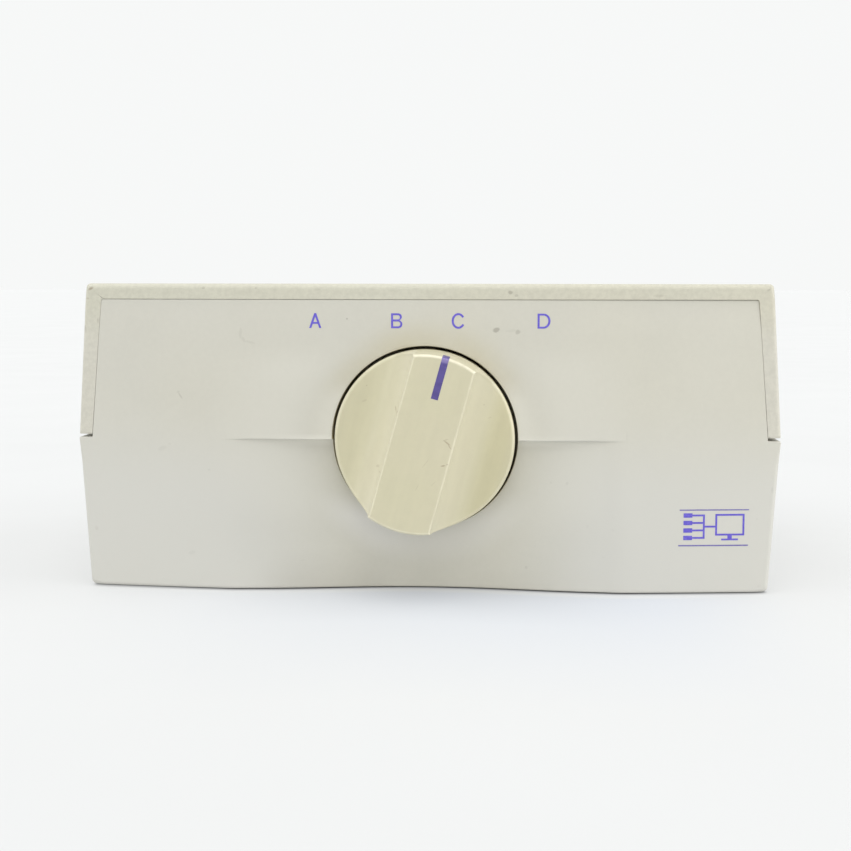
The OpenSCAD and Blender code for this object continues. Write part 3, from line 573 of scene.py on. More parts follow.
# filled pointer line and the printed letters
m = Mat("pointer_ink")
c = m.mix(m.ramp(m.noise(600.0, 3.0), 0.35, 0.7), srgb(71, 60, 124), srgb(80, 69, 136))
d = m.node("ShaderNodeVectorMath", operation="SUBTRACT")
m.link(m.co, d.inputs[0])
d.inputs[1].default_value = (0.0, 0.0, ZK * 0.001)
flat = m.node("ShaderNodeVectorMath", operation="MULTIPLY")
m.link(d.outputs[0], flat.inputs[0])
flat.inputs[1].default_value = (1.0, 0.0, 1.0)
ln = m.node("ShaderNodeVectorMath", operation="LENGTH")
m.link(flat.outputs[0], ln.inputs[0])
# a paler band where the line runs over the rounded end of the bar: painted highlight
thin = m.math("MULTIPLY", m.ramp(ln.outputs["Value"], 0.0182, 0.0188), m.ramp(ln.outputs["Value"], 0.0193, 0.0197, 1.0, 0.0))
c = m.mix(m.math("MULTIPLY", thin, m.ramp(m.noise(900.0, 3.0), 0.3, 0.7, 0.40, 0.8)), c, srgb(150, 138, 184))
MAT_POINTER = m.out(c, m.ramp(m.noise(300.0, 2.0), 0.3, 0.7, 0.34, 0.5), m.bump(m.noise(2500.0), 0.08, 0.0001))
m = Mat("print_ink")
c = m.mix(m.ramp(m.noise(1600.0, 3.0, 0.65), 0.35, 0.75), srgb(88, 76, 184), srgb(106, 95, 196))
MAT_PRINT = m.out(c, m.ramp(m.noise(500.0, 2.0), 0.3, 0.7, 0.45, 0.6), m.bump(m.noise(3400.0), 0.06, 0.0001))
m = Mat("rule_ink")
c = m.mix(m.ramp(m.noise(1600.0, 3.0, 0.65), 0.35, 0.75), srgb(104, 97, 158), srgb(122, 115, 170))
MAT_RULE = m.out(c, m.ramp(m.noise(500.0, 2.0), 0.3, 0.7, 0.45, 0.6), m.bump(m.noise(3400.0), 0.06, 0.0001))


def metal(name, a, b, r0, r1, brush=None, scale=180.0):
    m = Mat(name)
    co = m.moved((0, 0, 0), brush) if brush else m.co
    f = m.noise(scale, 4.0, 0.6, co)
    c = m.mix(m.ramp(f, 0.3, 0.7), a, b)
    c = m.mix(m.ramp(m.noise(900.0, 3.0, 0.7), 0.62, 0.8, 0.0, 0.4), c, tuple(x * 0.55 for x in a[:3]) + (1.0,))
    return m.out(c, m.ramp(f, 0.25, 0.75, r0, r1), m.bump(f, 0.06, 0.0001), 1.0)


def moulded(name, a, b, r0, r1, scale=160.0, grain=2600.0):
    m = Mat(name)
    c = m.mix(m.ramp(m.noise(scale, 3.0, 0.6), 0.3, 0.7), a, b)
    return m.out(c, m.ramp(m.noise(scale * 2, 3.0), 0.3, 0.7, r0, r1), m.bump(m.noise(grain, 2.0), 0.12, 0.0001))


MATS = {
    "panel_paint": moulded("rear_panel_paint", srgb(203, 202, 192), srgb(199, 197, 185), 0.40, 0.52, 60.0, 1900.0),
    "foot_rubber": moulded("foot_rubber", srgb(48, 47, 46), srgb(62, 60, 58), 0.75, 0.9, 300.0, 1400.0),
    "zinc_steel": metal("zinc_plate", srgb(190, 190, 186), srgb(172, 174, 176), 0.24, 0.40),
    "shell_nickel": metal("nickel_shell", srgb(204, 201, 192), srgb(188, 186, 178), 0.20, 0.34),
    "socket_plastic": moulded("socket_blue", srgb(34, 56, 128), srgb(42, 66, 140), 0.38, 0.5, 400.0),
    "contact_brass": metal("contact_brass", srgb(206, 168, 92), srgb(190, 150, 78), 0.24, 0.4),
    "housing_zinc": metal("zinc_casting", srgb(150, 150, 148), srgb(132, 132, 130), 0.45, 0.6, None, 500.0),
    "spring_steel": metal("ground_steel", srgb(170, 170, 170), srgb(150, 150, 152), 0.22, 0.36, (1, 12, 1), 300.0),
    "wafer_phenolic": moulded("phenolic_paper", srgb(116, 72, 40), srgb(98, 60, 34), 0.4, 0.55, 700.0),
    "rotor_nylon": moulded("natural_nylon", srgb(226, 221, 204), srgb(216, 210, 190), 0.38, 0.5, 300.0),
    "ribbon_pvc": moulded("ribbon_grey", srgb(150, 151, 155), srgb(138, 139, 143), 0.45, 0.6, 500.0),
}

# ------------------------------------------------------------------ lower case
Q_STEPS = [0.0, 0.26, 0.5, 0.71, 0.87, 0.965, 0.9995, 1.0005, 1.035, 1.13, 1.29, 1.5, 1.74, 2.0]
LEDGE_R = 0.2


def front_plate():
    zi = ZTOP - ROOF - GAP
    xi_l, xt_l = hw(34.88) - WALL_L[0] - GAP_LOW, hw(zi) - WALL_L[1] - GAP_HIGH
    xi_r, xt_r = hw(34.88) - WALL_R[0] - GAP_LOW, hw(zi) - WALL_R[1] - GAP_HIGH
    xo = hw(34.82)
    loop = subdivided(rounded(
        [(-BODY_W_END / 2, Z0), (BODY_W_END / 2, Z0), (xo, 34.82), (xi_r, 34.88),
         (xt_r, zi), (-xt_l, zi), (-xi_l, 34.88), (-xo, 34.82)],
        [1.2, 1.2, 0.35, 0.2, 0.5, 0.5, 0.2, 0.35], 7), 1.7)
    k = len(loop)
    normals = []
    for i in range(k):
        a, b = loop[i - 1], loop[(i + 1) % k]
        t = Vector((b[0] - a[0], b[1] - a[1])).normalized()
        normals.append((t.y, -t.x))
    ang = [math.atan2(p[1] - ZC, p[0]) for p in loop]
    order = sorted(range(k), key=lambda i: ang[i])
    pts = [(ang[i], loop[i], normals[i]) for i in order]
    rays = [a for a, _, _ in pts]
    for q in Q_STEPS:
        t = math.atan(q * LEDGE_R / WELL_R)
        rays += [-t, math.pi - 1e-9 if q == 0 else -math.pi + t]
    for d in (0.35, 0.8, 1.4, 2.1):
        t = math.radians(d)
        rays += [t, math.pi - t]
        t = math.radians(d) + math.atan(2 * LEDGE_R / WELL_R)
        rays += [-t, -math.pi + t]
    rays = sorted(rays)
    keep = [rays[0]]
    for a in rays[1:]:
        if a - keep[-1] > 2e-5:
            keep.append(a)
    rays = keep

    def boundary(a):
        n = len(pts)
        for i in range(n):
            a0, p0, n0 = pts[i]
            a1, p1, n1 = pts[(i + 1) % n]
            if i == n - 1:
                a1 += 2 * math.pi
                if a < a0:
                    a += 2 * math.pi
            if a0 <= a <= a1:
                d = (math.cos(a), math.sin(a))
                e = (p1[0] - p0[0], p1[1] - p0[1])
                det = e[0] * d[1] - e[1] * d[0]
                rel = (-p0[0], ZC - p0[1])
                u = 0.0 if abs(det) < 1e-9 else (rel[0] * d[1] - rel[1] * d[0]) / det
                u = max(0.0, min(1.0, u))
                nn = Vector((n0[0] + (n1[0] - n0[0]) * u, n0[1] + (n1[1] - n0[1]) * u)).normalized()
                return (p0[0] + e[0] * u, p0[1] + e[1] * u), (nn.x, nn.y)
        raise ValueError("no boundary")

    def edge_r(p):
        x, z = p
        if z > 34.9 or (z > 34.5 and abs(x) < hw(z) - 0.7):
            return 0.06 + 0.08 * min(1.0, max(0.0, (z - 64.9) / 1.4))
        side = 0.3 + 0.9 * min(1.0, max(0.0, (34.4 - z) / 5.0))
        if z < 4:
            low = 0.45 + 0.25 * step(25, 70, -x) + 0.1 * step(35, 70, x)
            f = min(1.0, max(0.0, (abs(x) - (BODY_W_END / 2 - 3)) / 3))
            return low + (side - low) * f
        return side

    def surf(x, z, a):
        d = scoop(x, z)
        y = panel_y(x, z)
        if d <= 0:
            return y
        low = -a if abs(a) < math.pi / 2 else (math.pi - abs(a) if a < 0 else abs(a) - math.pi)
        if low <= 0:
            return y
        q = math.tan(low) * WELL_R / LEDGE_R if low < 1.4 else 9.0
        if q >= 2:
            return y + d
        c = min(LEDGE_R * abs(x) / WELL_R, d / 2)
        if q < 1:
            return y + c * (1 - math.sqrt(max(0.0, 1 - q * q)))
        return y + d - c * (1 - math.sqrt(max(0.0, 1 - (2 - q) ** 2)))

    b = Build()
    nr, rh = 56, 0.16
    starts, ends, norms, radii = [], [], [], []
    for a in rays:
        d = (math.cos(a), math.sin(a))
        dz = ZC - ZK
        R = WELL_R + rh
        s = -dz * d[1] + math.sqrt((dz * d[1]) ** 2 - dz * dz + R * R)
        starts.append((d[0] * s, ZC + d[1] * s))
        p, nn = boundary(a)
        r = edge_r(p)
        ends.append((p[0] - nn[0] * r, p[1] - nn[1] * r))
        norms.append(nn)
        radii.append(r)
    rows = []
    for j in range(nr + 1):
        t = j / nr
        t = t * (0.75 + 0.25 * t)
        ring = []
        for i, a in enumerate(rays):
            x = starts[i][0] + (ends[i][0] - starts[i][0]) * t
            z = starts[i][1] + (ends[i][1] - starts[i][1]) * t
            ring.append((x, surf(x, z, a), z))
        rows.append(b.ring(ring))
    for j in range(nr):
        b.strip(rows[j], rows[j + 1])
    # rim of the well and its wall
    prev = rows[0]
    y0 = [surf(starts[i][0], starts[i][1], a) for i, a in enumerate(rays)]
    dirs = []
    for s in starts:
        v = Vector((s[0], s[1] - ZK)).normalized()
        dirs.append((v.x, v.y))
    for al in (18, 36, 54, 72, 90):
        sa, ca = math.sin(math.radians(al)), math.cos(math.radians(al))
        R = WELL_R + rh * (1 - sa)
        cur = b.ring([(e[0] * R, y0[i] + rh * (1 - ca), ZK + e[1] * R) for i, e in enumerate(dirs)])
        b.strip(prev, cur)
        prev = cur
    for R, y in ((WELL_R, 3.2), (WELL_R, 5.6), (WELL_R - 0.3, 5.9), (12.0, 5.9), (7.9, 5.9)):
        cur = b.ring([(e[0] * R, y, ZK + e[1] * R) for e in dirs])
        b.strip(prev, cur, m=1)
        prev = cur
    centre = b.ring([(0, 5.9, ZK)])[0]
    b.fan(prev, centre, m=1)
    # outer edge of the panel
    prev = rows[-1]
    y1 = [surf(ends[i][0], ends[i][1], a) for i, a in enumerate(rays)]
    for al in (15, 30, 45, 60, 75, 90):
        sa, ca = math.sin(math.radians(al)), math.cos(math.radians(al))
        cur = b.ring([(ends[i][0] + norms[i][0] * radii[i] * sa, y1[i] + radii[i] * (1 - ca),
                       ends[i][1] + norms[i][1] * radii[i] * sa) for i in range(len(rays))])
        b.strip(prev, cur)
        prev = cur
    cur = b.ring([(ends[i][0] + norms[i][0] * radii[i], 6.0, ends[i][1] + norms[i][1] * radii[i]) for i in range(len(rays))])
    b.strip(prev, cur)
    b.face(cur)
    return b.make("front_plate", [MAT_LOWER, MAT_WELL_PAINTED_LIGHT])


def polyline(parts):
    out = []
    for p in parts:
        out.extend(p)
    return out


def seg(a, b, n, last=False):
    return [(a[0] + (b[0] - a[0]) * i / n, a[1] + (b[1] - a[1]) * i / n) for i in range(n + (1 if last else 0))]


def arc(c, r, a0, a1, n):
    return [(c[0] + r * math.cos(math.radians(a0 + (a1 - a0) * i / n)), c[1] + r * math.sin(math.radians(a0 + (a1 - a0) * i / n))) for i in range(n)]


def u_shell(name, outer, inner, y_front, y_rear, r_out, r_in, mat, r_rear=0.4, r_flat=None, r_corner=1.0):
    """Bent sheet along Y. outer and inner are matching lines from one tip to the other that share both end points."""
    n = len(outer)
    loop = outer + inner[-2:0:-1]
    k = len(loop)
    area = sum(loop[i - 1][0] * loop[i][1] - loop[i][0] * loop[i - 1][1] for i in range(k))
    sign = 1.0 if area > 0 else -1.0
    norm, rad = [], []
    for i in range(k):
        a, b_ = loop[i - 1], loop[(i + 1) % k]
        t = Vector((b_[0] - a[0], b_[1] - a[1])).normalized()
        norm.append((t.y * sign, -t.x * sign))
        rad.append(r_out if i < n else r_in)
    if r_flat is not None:
        # fuller rounding along the flat side than along the two others
        z_flat = max(q[1] for q in outer)
        for i in range(n):
            rad[i] = r_out + (r_flat - r_out) * step(z_flat - 1.6, z_flat - 0.2, outer[i][1])
            if min(abs(norm[i][0]), abs(norm[i][1])) > 0.12:
                rad[i] = min(rad[i], r_corner * 0.92)
    for i in list(range(0, 6)) + list(range(n - 6, n)):
        rad[i] = min(rad[i], r_in + (r_out - r_in) * min(i, n - 1 - i) / 6)
    b = Build()

    def rings(y_of, r_scale, way):
        made = []
        for al in (0, 18, 36, 54, 72, 90):
            sa, ca = math.sin(math.radians(al)), math.cos(math.radians(al))
            ring = []
            for i, p in enumerate(loop):
                k_ = rad[i] * r_scale * (1 - sa)
                x = p[0] - norm[i][0] * k_
                ring.append((x, y_of(x) + way * rad[i] * r_scale * (1 - ca), p[1] - norm[i][1] * k_))
            made.append(b.ring(ring))
        return made
    f = rings(y_front, 1.0, 1)
    r = rings(lambda x: y_rear, r_rear / max(r_out, 1e-6), -1)
    for a, c in zip(f, f[1:]):
        b.strip(a, c)
    b.strip(f[-1], r[-1])
    for a, c in zip(r, r[1:]):
        b.strip(c, a)
    idx_in = [0] + [k - i for i in range(1, n - 1)] + [n - 1]
    for ring, y_of in ((f[0], y_front), (r[0], lambda x: y_rear)):
        # a row close to each edge keeps the rounding out of the flat face's shading
        rows = [[ring[i] for i in range(n)]]
        for near, gap in ((0, 0.22), (1, 0.12)):
            row = []
            for i in range(n):
                o_, i_ = b.v[ring[i]], b.v[ring[idx_in[i]]]
                d = math.hypot(i_[0] - o_[0], i_[2] - o_[2])
                w = min(0.4, gap / d) if d > 1e-6 else 0.0
                w = 1.0 - w if near else w
                x, z = o_[0] + (i_[0] - o_[0]) * w, o_[2] + (i_[2] - o_[2]) * w
                row.append((x, y_of(x), z))
            rows.append(b.ring(row))
        rows.append([ring[idx_in[i]] for i in range(n)])
        for a, c in zip(rows, rows[1:]):
            b.strip(a, c, closed=False)
    return b.make(name, [mat])


def u_lines(z_tip, z_flat, r_corner, r_inner, wall_side, wall_flat, tip_r_out, tip_r_in, n_side=12, n_flat=48, wall_end=None, wall_right=None):
    """Matching outer and inner lines of a shell that is open on one side, from the left tip to the right tip."""
    up = 1 if z_flat > z_tip else -1
    wall_end = wall_side if wall_end is None else wall_end
    w_tip, w_flat = hw(z_tip), BODY_W_END / 2
    slope = math.degrees(math.atan2(w_tip - w_flat, abs(z_flat - z_tip)))

    def mirror(p):
        return [(-x, z) for x, z in reversed(p)]
    zi = z_flat - up * wall_flat

    def half(side, end):
        mid = (-(w_tip - side / 2), z_tip)
        out = polyline([
            [mid],
            arc((-(w_tip - tip_r_out), z_tip + up * tip_r_out), tip_r_out, 270 if up > 0 else 90, 180, 5),
            seg((-hw(z_tip + up * tip_r_out), z_tip + up * tip_r_out), (-hw(z_flat - up * r_corner), z_flat - up * r_corner), n_side),
            arc((-(w_flat - r_corner), z_flat - up * r_corner), r_corner, 180 - up * slope, 90 if up > 0 else 270, 8),
            seg((-(w_flat - r_corner), z_flat), (0, z_flat), n_flat // 2),
        ])
        inn = polyline([
            [mid],
            arc((-(w_tip - side + tip_r_in), z_tip + up * tip_r_in), tip_r_in, 270 if up > 0 else 90, 360 if up > 0 else 0, 5),
            seg((-(hw(z_tip + up * tip_r_in) - side), z_tip + up * tip_r_in), (-(hw(zi - up * r_inner) - end), zi - up * r_inner), n_side),
            arc((-(hw(zi) - end - r_inner), zi - up * r_inner), r_inner, 180, 90 if up > 0 else 270, 8),
            seg((-(hw(zi) - end - r_inner), zi), (0, zi), n_flat // 2),
        ])
        return out, inn
    out_l, in_l = half(wall_side, wall_end)
    out_r, in_r = half(*(wall_right or (wall_side, wall_end)))
    outer = out_l + [(0, z_flat)] + mirror(out_r)
    inner = in_l + [(0, zi)] + mirror(in_r)
    return outer, inner


def prism(name, poly, y0, y1, mat):
    b = Build()
    a = b.ring([(p[0], y0, p[1]) for p in poly])
    c = b.ring([(p[0], y1, p[1]) for p in poly])
    b.strip(a, c)
    b.face(a)
    b.face(c)
    return b.make(name, [mat])


def drum(name, x, y, z0, z1, r, mat=None, n=48):
    """Upright round cutter."""
    b = Build()
    a = b.ring([(x + r * math.cos(2 * math.pi * i / n), y + r * math.sin(2 * math.pi * i / n), z0) for i in range(n)])
    c = b.ring([(x + r * math.cos(2 * math.pi * i / n), y + r * math.sin(2 * math.pi * i / n), z1) for i in range(n)])
    b.strip(a, c)
    b.face(a)
    b.face(c)
    return b.make(name, [mat] if mat else [], weighted=False)


outer, inner = u_lines(ZGL, Z0, 1.2, 0.5, WALL, FLOOR_T, 0.35, 0.25)
tub = u_shell("tub", outer, inner, lambda x: 6.0, BODY_D, 0.001, 0.001, MAT_LOWER, 0.45)
wells = []
for sx in (-1, 1):
    for y in (20.0, 92.0):
        wells.append(drum("well", sx * 58.0, y, -1.0, 1.5, 5.2))
    for y in (11.0, 80.0):
        wells.append(drum("well", sx * 66.0, y, -1.0, 3.4, 3.1))
tub = cut(tub, wells)
parts = [front_plate(), tub]
for sx in (-1, 1):
    parts.append(prism("lip", [(sx * x, z) for x, z in [(75.0, 27), (77.2, 29), (77.0, 34.2), (76.55, ZGL), (76.4, 39), (75.0, 39)]], 6.0, 99.0, MAT_LOWER))
    for y in (11.0, 80.0):
        # screw pillar seen through its well
        b = Build()
        rings = []
        for r_, z_ in ((3.06, 1.6), (3.06, 24.0), (1.7, 24.0), (1.7, 36.0), (4.5, 36.0), (4.5, 1.6)):
            rings.append(b.ring([(sx * 66 + r_ * math.cos(2 * math.pi * i / 48), y + r_ * math.sin(2 * math.pi * i / 48), z_) for i in range(48)]))
        for i in range(len(rings)):
            b.strip(rings[i], rings[(i + 1) % len(rings)])
        parts.append(b.make("pillar", [MAT_LOWER]))
lo_o, lo_i = u_lines(ZGL, Z0 + 2.0, 0.4, 0.4, WALL + 1.8, FLOOR_T - 2.0 + 1.8, 0.2, 0.2)
parts.append(u_shell("rib", [(x * (1 - 1.6 / 80), z) for x, z in lo_o], lo_i, lambda x: Y_PAN + 0.1, Y_PAN + 2.1, 0.25, 0.25, MAT_LOWER, 0.25))
lower_case = joined("lower_case_shell", parts)
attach(lower_case, "case")
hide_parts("lower_case")

# ------------------------------------------------------------------ cover
outer, inner = u_lines(ZGH, ZTOP, 1.05, 0.5, WALL_L[0], ROOF, 0.3, 0.2, wall_end=WALL_L[1], wall_right=WALL_R)
shell = u_shell("cover", outer, inner, bow_y, BODY_D, 0.8, 0.08, MAT_COVER, 0.5, 1.1, 1.05)
co_o, co_i = u_lines(40.0, ZTOP - 2.4, 0.5, 0.4, WALL_L[1] + 1.6, ROOF - 2.4 + 1.8, 0.2, 0.2)
rib = u_shell("rib", [(x * (1 - 1.6 / 80), z) for x, z in co_o], co_i, lambda x: Y_PAN + 0.1, Y_PAN + 2.1, 0.25, 0.25, MAT_COVER, 0.25)
cover = joined("top_cover_shell", [shell, rib])
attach(cover, "case")
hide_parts("top_cover")

# ------------------------------------------------------------------ knob
VAL_U, VAL_H = 15.0, H_RIM - 0.35
BA = math.radians(POINT_DEG)


def flank(u):
    if u >= VAL_U:
        return VAL_H + 0.35 * ((u - VAL_U) / (KNOB_R - VAL_U)) ** 2
    t = (VAL_U - u) / (VAL_U - BAR_HW)
    return VAL_H + (H_BAR - VAL_H) * (1 - math.sqrt(max(0.0, 1 - t * t)))


def knob_point(u, v, h):
    return (u * math.cos(BA) + v * math.sin(BA), -h, ZK - u * math.sin(BA) + v * math.cos(BA))


def edge_r(h):
    """Rounding of the knob's outer edge: fuller at the rim, tighter at the ends of the bar."""
    return 0.75 - 0.2 * max(0.0, min(1.0, (h - H_RIM) / (H_BAR - H_RIM)))


EDGE = 0.42


def top_profile():
    """u and height across the bar and its flanks, for u from the middle outwards."""
    p = [(u, H_BAR) for u in (0.0, 0.4, 0.775, 1.6, 2.6, 3.6, 4.6, 5.4, 6.0)]
    for i in range(9):
        a = math.radians(90 - 84 * i / 8)
        p.append((BAR_HW - EDGE + EDGE * math.cos(a), H_BAR - EDGE + EDGE * math.sin(a)))
    for i in range(26):
        a = math.radians(15.5 + 74.5 * i / 25)
        u = VAL_U - (VAL_U - BAR_HW) * math.cos(a)
        if u > p[-1][0] + 0.02:
            p.append((u, VAL_H + (H_BAR - VAL_H) * (1 - math.sin(a))))
    r = KNOB_R - edge_r(H_RIM)
    for i in range(1, 13):
        f = math.sin(math.radians(90 * i / 12))
        u = VAL_U + (r - 0.012 - VAL_U) * f
        p.append((u, flank(u)))
    return p


half = top_profile()
cols = [(-u, h) for u, h in reversed(half[1:])] + half


def rim_radius(h):
    return KNOB_R - 0.55 * max(0.0, min(1.0, (h - H_RIM) / (H_BAR - H_RIM)))


def knob_mesh():
    b = Build()
    m = 36
    grid = []
    for u, h in cols:
        rin = rim_radius(h) - edge_r(h)
        v = math.sqrt(max(rin * rin - u * u, 1e-4))
        grid.append(b.ring([knob_point(u, v * (2 * j / m - 1), h) for j in range(m + 1)]))
    for a, c in zip(grid, grid[1:]):
        b.strip(a, c, closed=False)
    loc = []
    for i, (u, h) in enumerate(cols):
        loc.append((grid[i][m], u, 1, h))
    edge = [(grid[i][m], cols[i], m) for i in range(len(cols))]
    edge += [(grid[-1][j], cols[-1], j) for j in range(m - 1, 0, -1)]
    edge += [(grid[i][0], cols[i], 0) for i in range(len(cols) - 1, -1, -1)]
    edge += [(grid[0][j], cols[0], j) for j in range(1, m)]
    pts = []
    for idx, (u, h), j in edge:
        rin = rim_radius(h) - edge_r(h)
        v = math.sqrt(max(rin * rin - u * u, 1e-4)) * (2 * j / m - 1)
        L = math.hypot(u, v)
        pts.append((u, v, h, u / L, v / L, rin))
    prev = [e[0] for e in edge]
    for al in (15, 30, 45, 60, 75, 90):
        sa, ca = math.sin(math.radians(al)), math.cos(math.radians(al))
        cur = b.ring([knob_point(u + eu * edge_r(h) * sa, v + ev * edge_r(h) * sa, h - edge_r(h) * (1 - ca)) for u, v, h, eu, ev, rin in pts])
        b.strip(prev, cur)
        prev = cur
    for f in (0.5, 1.0):
        ring = []
        for u, v, h, eu, ev, rin in pts:
            hh = (h - edge_r(h)) + ((H_RIM - 1.2) - (h - edge_r(h))) * f
            rr = KNOB_R if f == 1.0 else rim_radius(hh)
            ring.append(knob_point(eu * rr, ev * rr, hh))
        cur = b.ring(ring)
        b.strip(prev, cur)
        prev = cur
    for rr, hh in ((KNOB_R, -3.7), (KNOB_R - 0.1, -3.9), (KNOB_R - 0.3, -4.0), (KNOB_R - 1.9, -4.0), (KNOB_R - 2.1, -3.9), (KNOB_R - 2.2, -3.7),
                   (KNOB_R - 2.2, 3.4), (KNOB_R - 2.7, 3.9), (12.0, 3.9), (5.5, 3.9), (5.5, -0.2), (5.2, -0.5), (3.4, -0.5), (3.06, -0.2), (3.06, 12.0)):
        cur = b.ring([knob_point(eu * rr, ev * rr, hh) for u, v, h, eu, ev, rin in pts])
        b.strip(prev, cur)
        prev = cur
    c = b.ring([knob_point(0, 0, 13.3)])[0]
    b.fan(prev, c)
    return b.make("knob_cap", [MAT_KNOB], angle=40.0)


knob = knob_mesh()
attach(knob, "selector")
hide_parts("knob")


def pointer_mesh():
    """Filled line that runs along the bar's top, over its end and part of the way down."""
    hwid, lift, deep = 0.775, 0.03, 0.30
    path = []
    rf = edge_r(H_BAR)
    r = TOP_R - rf
    v0 = TOP_R - 9.3
    for i in range(13):
        path.append((v0 + (r - v0) * i / 12, H_BAR, 0.0))
    for al in (15, 30, 45, 60, 75, 90):
        path.append((r + rf * math.sin(math.radians(al)), H_BAR - rf * (1 - math.cos(math.radians(al))), al))
    for i in range(1, 7):
        h = H_BAR - rf - 3.6 * i / 6
        path.append((rim_radius(h), h, 90.0))
    b = Build()
    us = [-hwid + 2 * hwid * i / 6 for i in range(7)]
    rows = []
    for v, h, al in path:
        nv, nh = math.sin(math.radians(al)), math.cos(math.radians(al))
        top, low = [], []
        for u in us:
            # the bar's end is round in plan
            back = v - math.sqrt(max(v * v - u * u, 0)) if al > 0 or v > r - 1.5 else 0.0
            f = 1.0 if al > 0 else max(0.0, (v - (r - 1.5)) / 1.5)
            vv = v - back * f
            top.append(knob_point(u, vv + nv * lift, h + nh * lift))
            low.append(knob_point(u, vv - nv * deep, h - nh * deep))
        rows.append(b.ring(top + low[::-1]))
    for a, c in zip(rows, rows[1:]):
        b.strip(a, c)
    b.face(rows[0])
    b.face(rows[-1])
    return b.make("pointer_fill", [MAT_POINTER], angle=50.0)


pointer = pointer_mesh()
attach(pointer, "selector")
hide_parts("pointer_line")

# ------------------------------------------------------------------ printing
def bend(cx, cz, rx, rz, a0, a1, n=20):
    return [(cx + rx * math.cos(math.radians(a0 + (a1 - a0) * i / n)), cz + rz * math.sin(math.radians(a0 + (a1 - a0) * i / n))) for i in range(n + 1)]


# plain capitals of height 1: the outline and then its holes
GLYPHS = {
    "A": [[(-0.415, 0), (-0.065, 1), (0.065, 1), (0.415, 0), (0.27, 0), (0.17, 0.28), (-0.17, 0.28), (-0.27, 0)],
          [(0.128, 0.403), (-0.128, 0.403), (0, 0.768)]],
    "B": [[(-0.38, 0), (-0.38, 1)] + bend(0.09, 0.765, 0.255, 0.235, 90, -65) + bend(0.09, 0.27, 0.29, 0.27, 62, -90),
          [(-0.245, 0.592), (-0.245, 0.872)] + bend(0.08, 0.732, 0.138, 0.14, 90, -90),
          [(-0.245, 0.128), (-0.245, 0.452)] + bend(0.09, 0.29, 0.158, 0.162, 90, -90)],
    "C": [bend(0, 0.5, 0.445, 0.525, 32, 330, 40) + bend(0, 0.5, 0.308, 0.388, 330, 32, 40)],
    "D": [[(-0.425, 0), (-0.425, 1)] + bend(-0.02, 0.5, 0.455, 0.5, 90, -90, 32),
          [(-0.29, 0.128), (-0.29, 0.872)] + bend(-0.03, 0.5, 0.325, 0.372, 90, -90, 32)],
}


def ink(name, me, mat):
    """Printed piece: flat-shaded and a few hundredths of a millimetre thick."""
    o = finish_mesh(name, me, [mat], weighted=False)
    me.polygons.foreach_set("use_smooth", [False] * len(me.polygons))
    s = o.modifiers.new("ink", "SOLIDIFY")
    s.thickness, s.offset = 0.00003, 0.0
    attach(o, "case")
    return o


def print_on(name, ch, x, z, height, place, mat=MAT_PRINT):
    cu = bpy.data.curves.new("glyph", "CURVE")
    cu.dimensions, cu.fill_mode = "2D", "BOTH"
    for loop in GLYPHS[ch]:
        sp = cu.splines.new("POLY")
        sp.points.add(len(loop) - 1)
        for q, (u, v) in zip(sp.points, loop):
            q.co = (u, v - 0.5, 0, 1)
        sp.use_cyclic_u = True
    o = bpy.data.objects.new("glyph", cu)
    scene.collection.objects.link(o)
    bpy.context.view_layer.update()
    me = bpy.data.meshes.new_from_object(o.evaluated_get(bpy.context.evaluated_depsgraph_get()))
    bpy.data.objects.remove(o)
    bpy.data.curves.remove(cu)
    bm = bmesh.new()
    bm.from_mesh(me)
    bmesh.ops.triangulate(bm, faces=bm.faces)
    bm.to_mesh(me)
    bm.free()
    for v in me.vertices:
        v.co = place(x + v.co.x * height, z + v.co.y * height)
    return ink(name, me, mat)


def front_place(x, z):
    return mm((x, panel_y(x, z) - 0.025, z))


def rear_place(x, z):
    return mm((x, Y_PAN + 0.02, z))


for ch, x in (("A", -24.55), ("B", -6.25), ("C", 7.48), ("D", 26.45)):
    print_on("print_" + ch.lower(), ch, x, 61.78, 3.32, front_place)


def flat_print(name, polys, place, mat=MAT_PRINT):
    """Several convex outlines, cut finely enough to follow the bowed panel, as one printed piece."""
    bm = bmesh.new()
    for poly in polys:
        bm.faces.new([bm.verts.new((x, z, 0.0)) for x, z in poly])
    x0 = math.floor(min(v.co.x for v in bm.verts))
    x1 = math.ceil(max(v.co.x for v in bm.verts))
    for x in range(int(x0) + 1, int(x1)):
        bmesh.ops.bisect_plane(bm, geom=bm.verts[:] + bm.edges[:] + bm.faces[:], plane_co=(x, 0, 0), plane_no=(1, 0, 0))
    for v in bm.verts:
        v.co = place(v.co.x, v.co.y)
    me = bpy.data.meshes.new(name)
    bm.to_mesh(me)
    bm.free()
    return ink(name, me, mat)


def rect(x0, x1, z0, z1):
    return [(x0, z0), (x1, z0), (x1, z1), (x0, z1)]


flat_print("print_rule_top", [rect(57.3, 73.0, 19.3, 19.56)], front_place, MAT_RULE)
flat_print("print_rule_low", [rect(57.1, 72.9, 11.19, 11.49)], front_place, MAT_RULE)
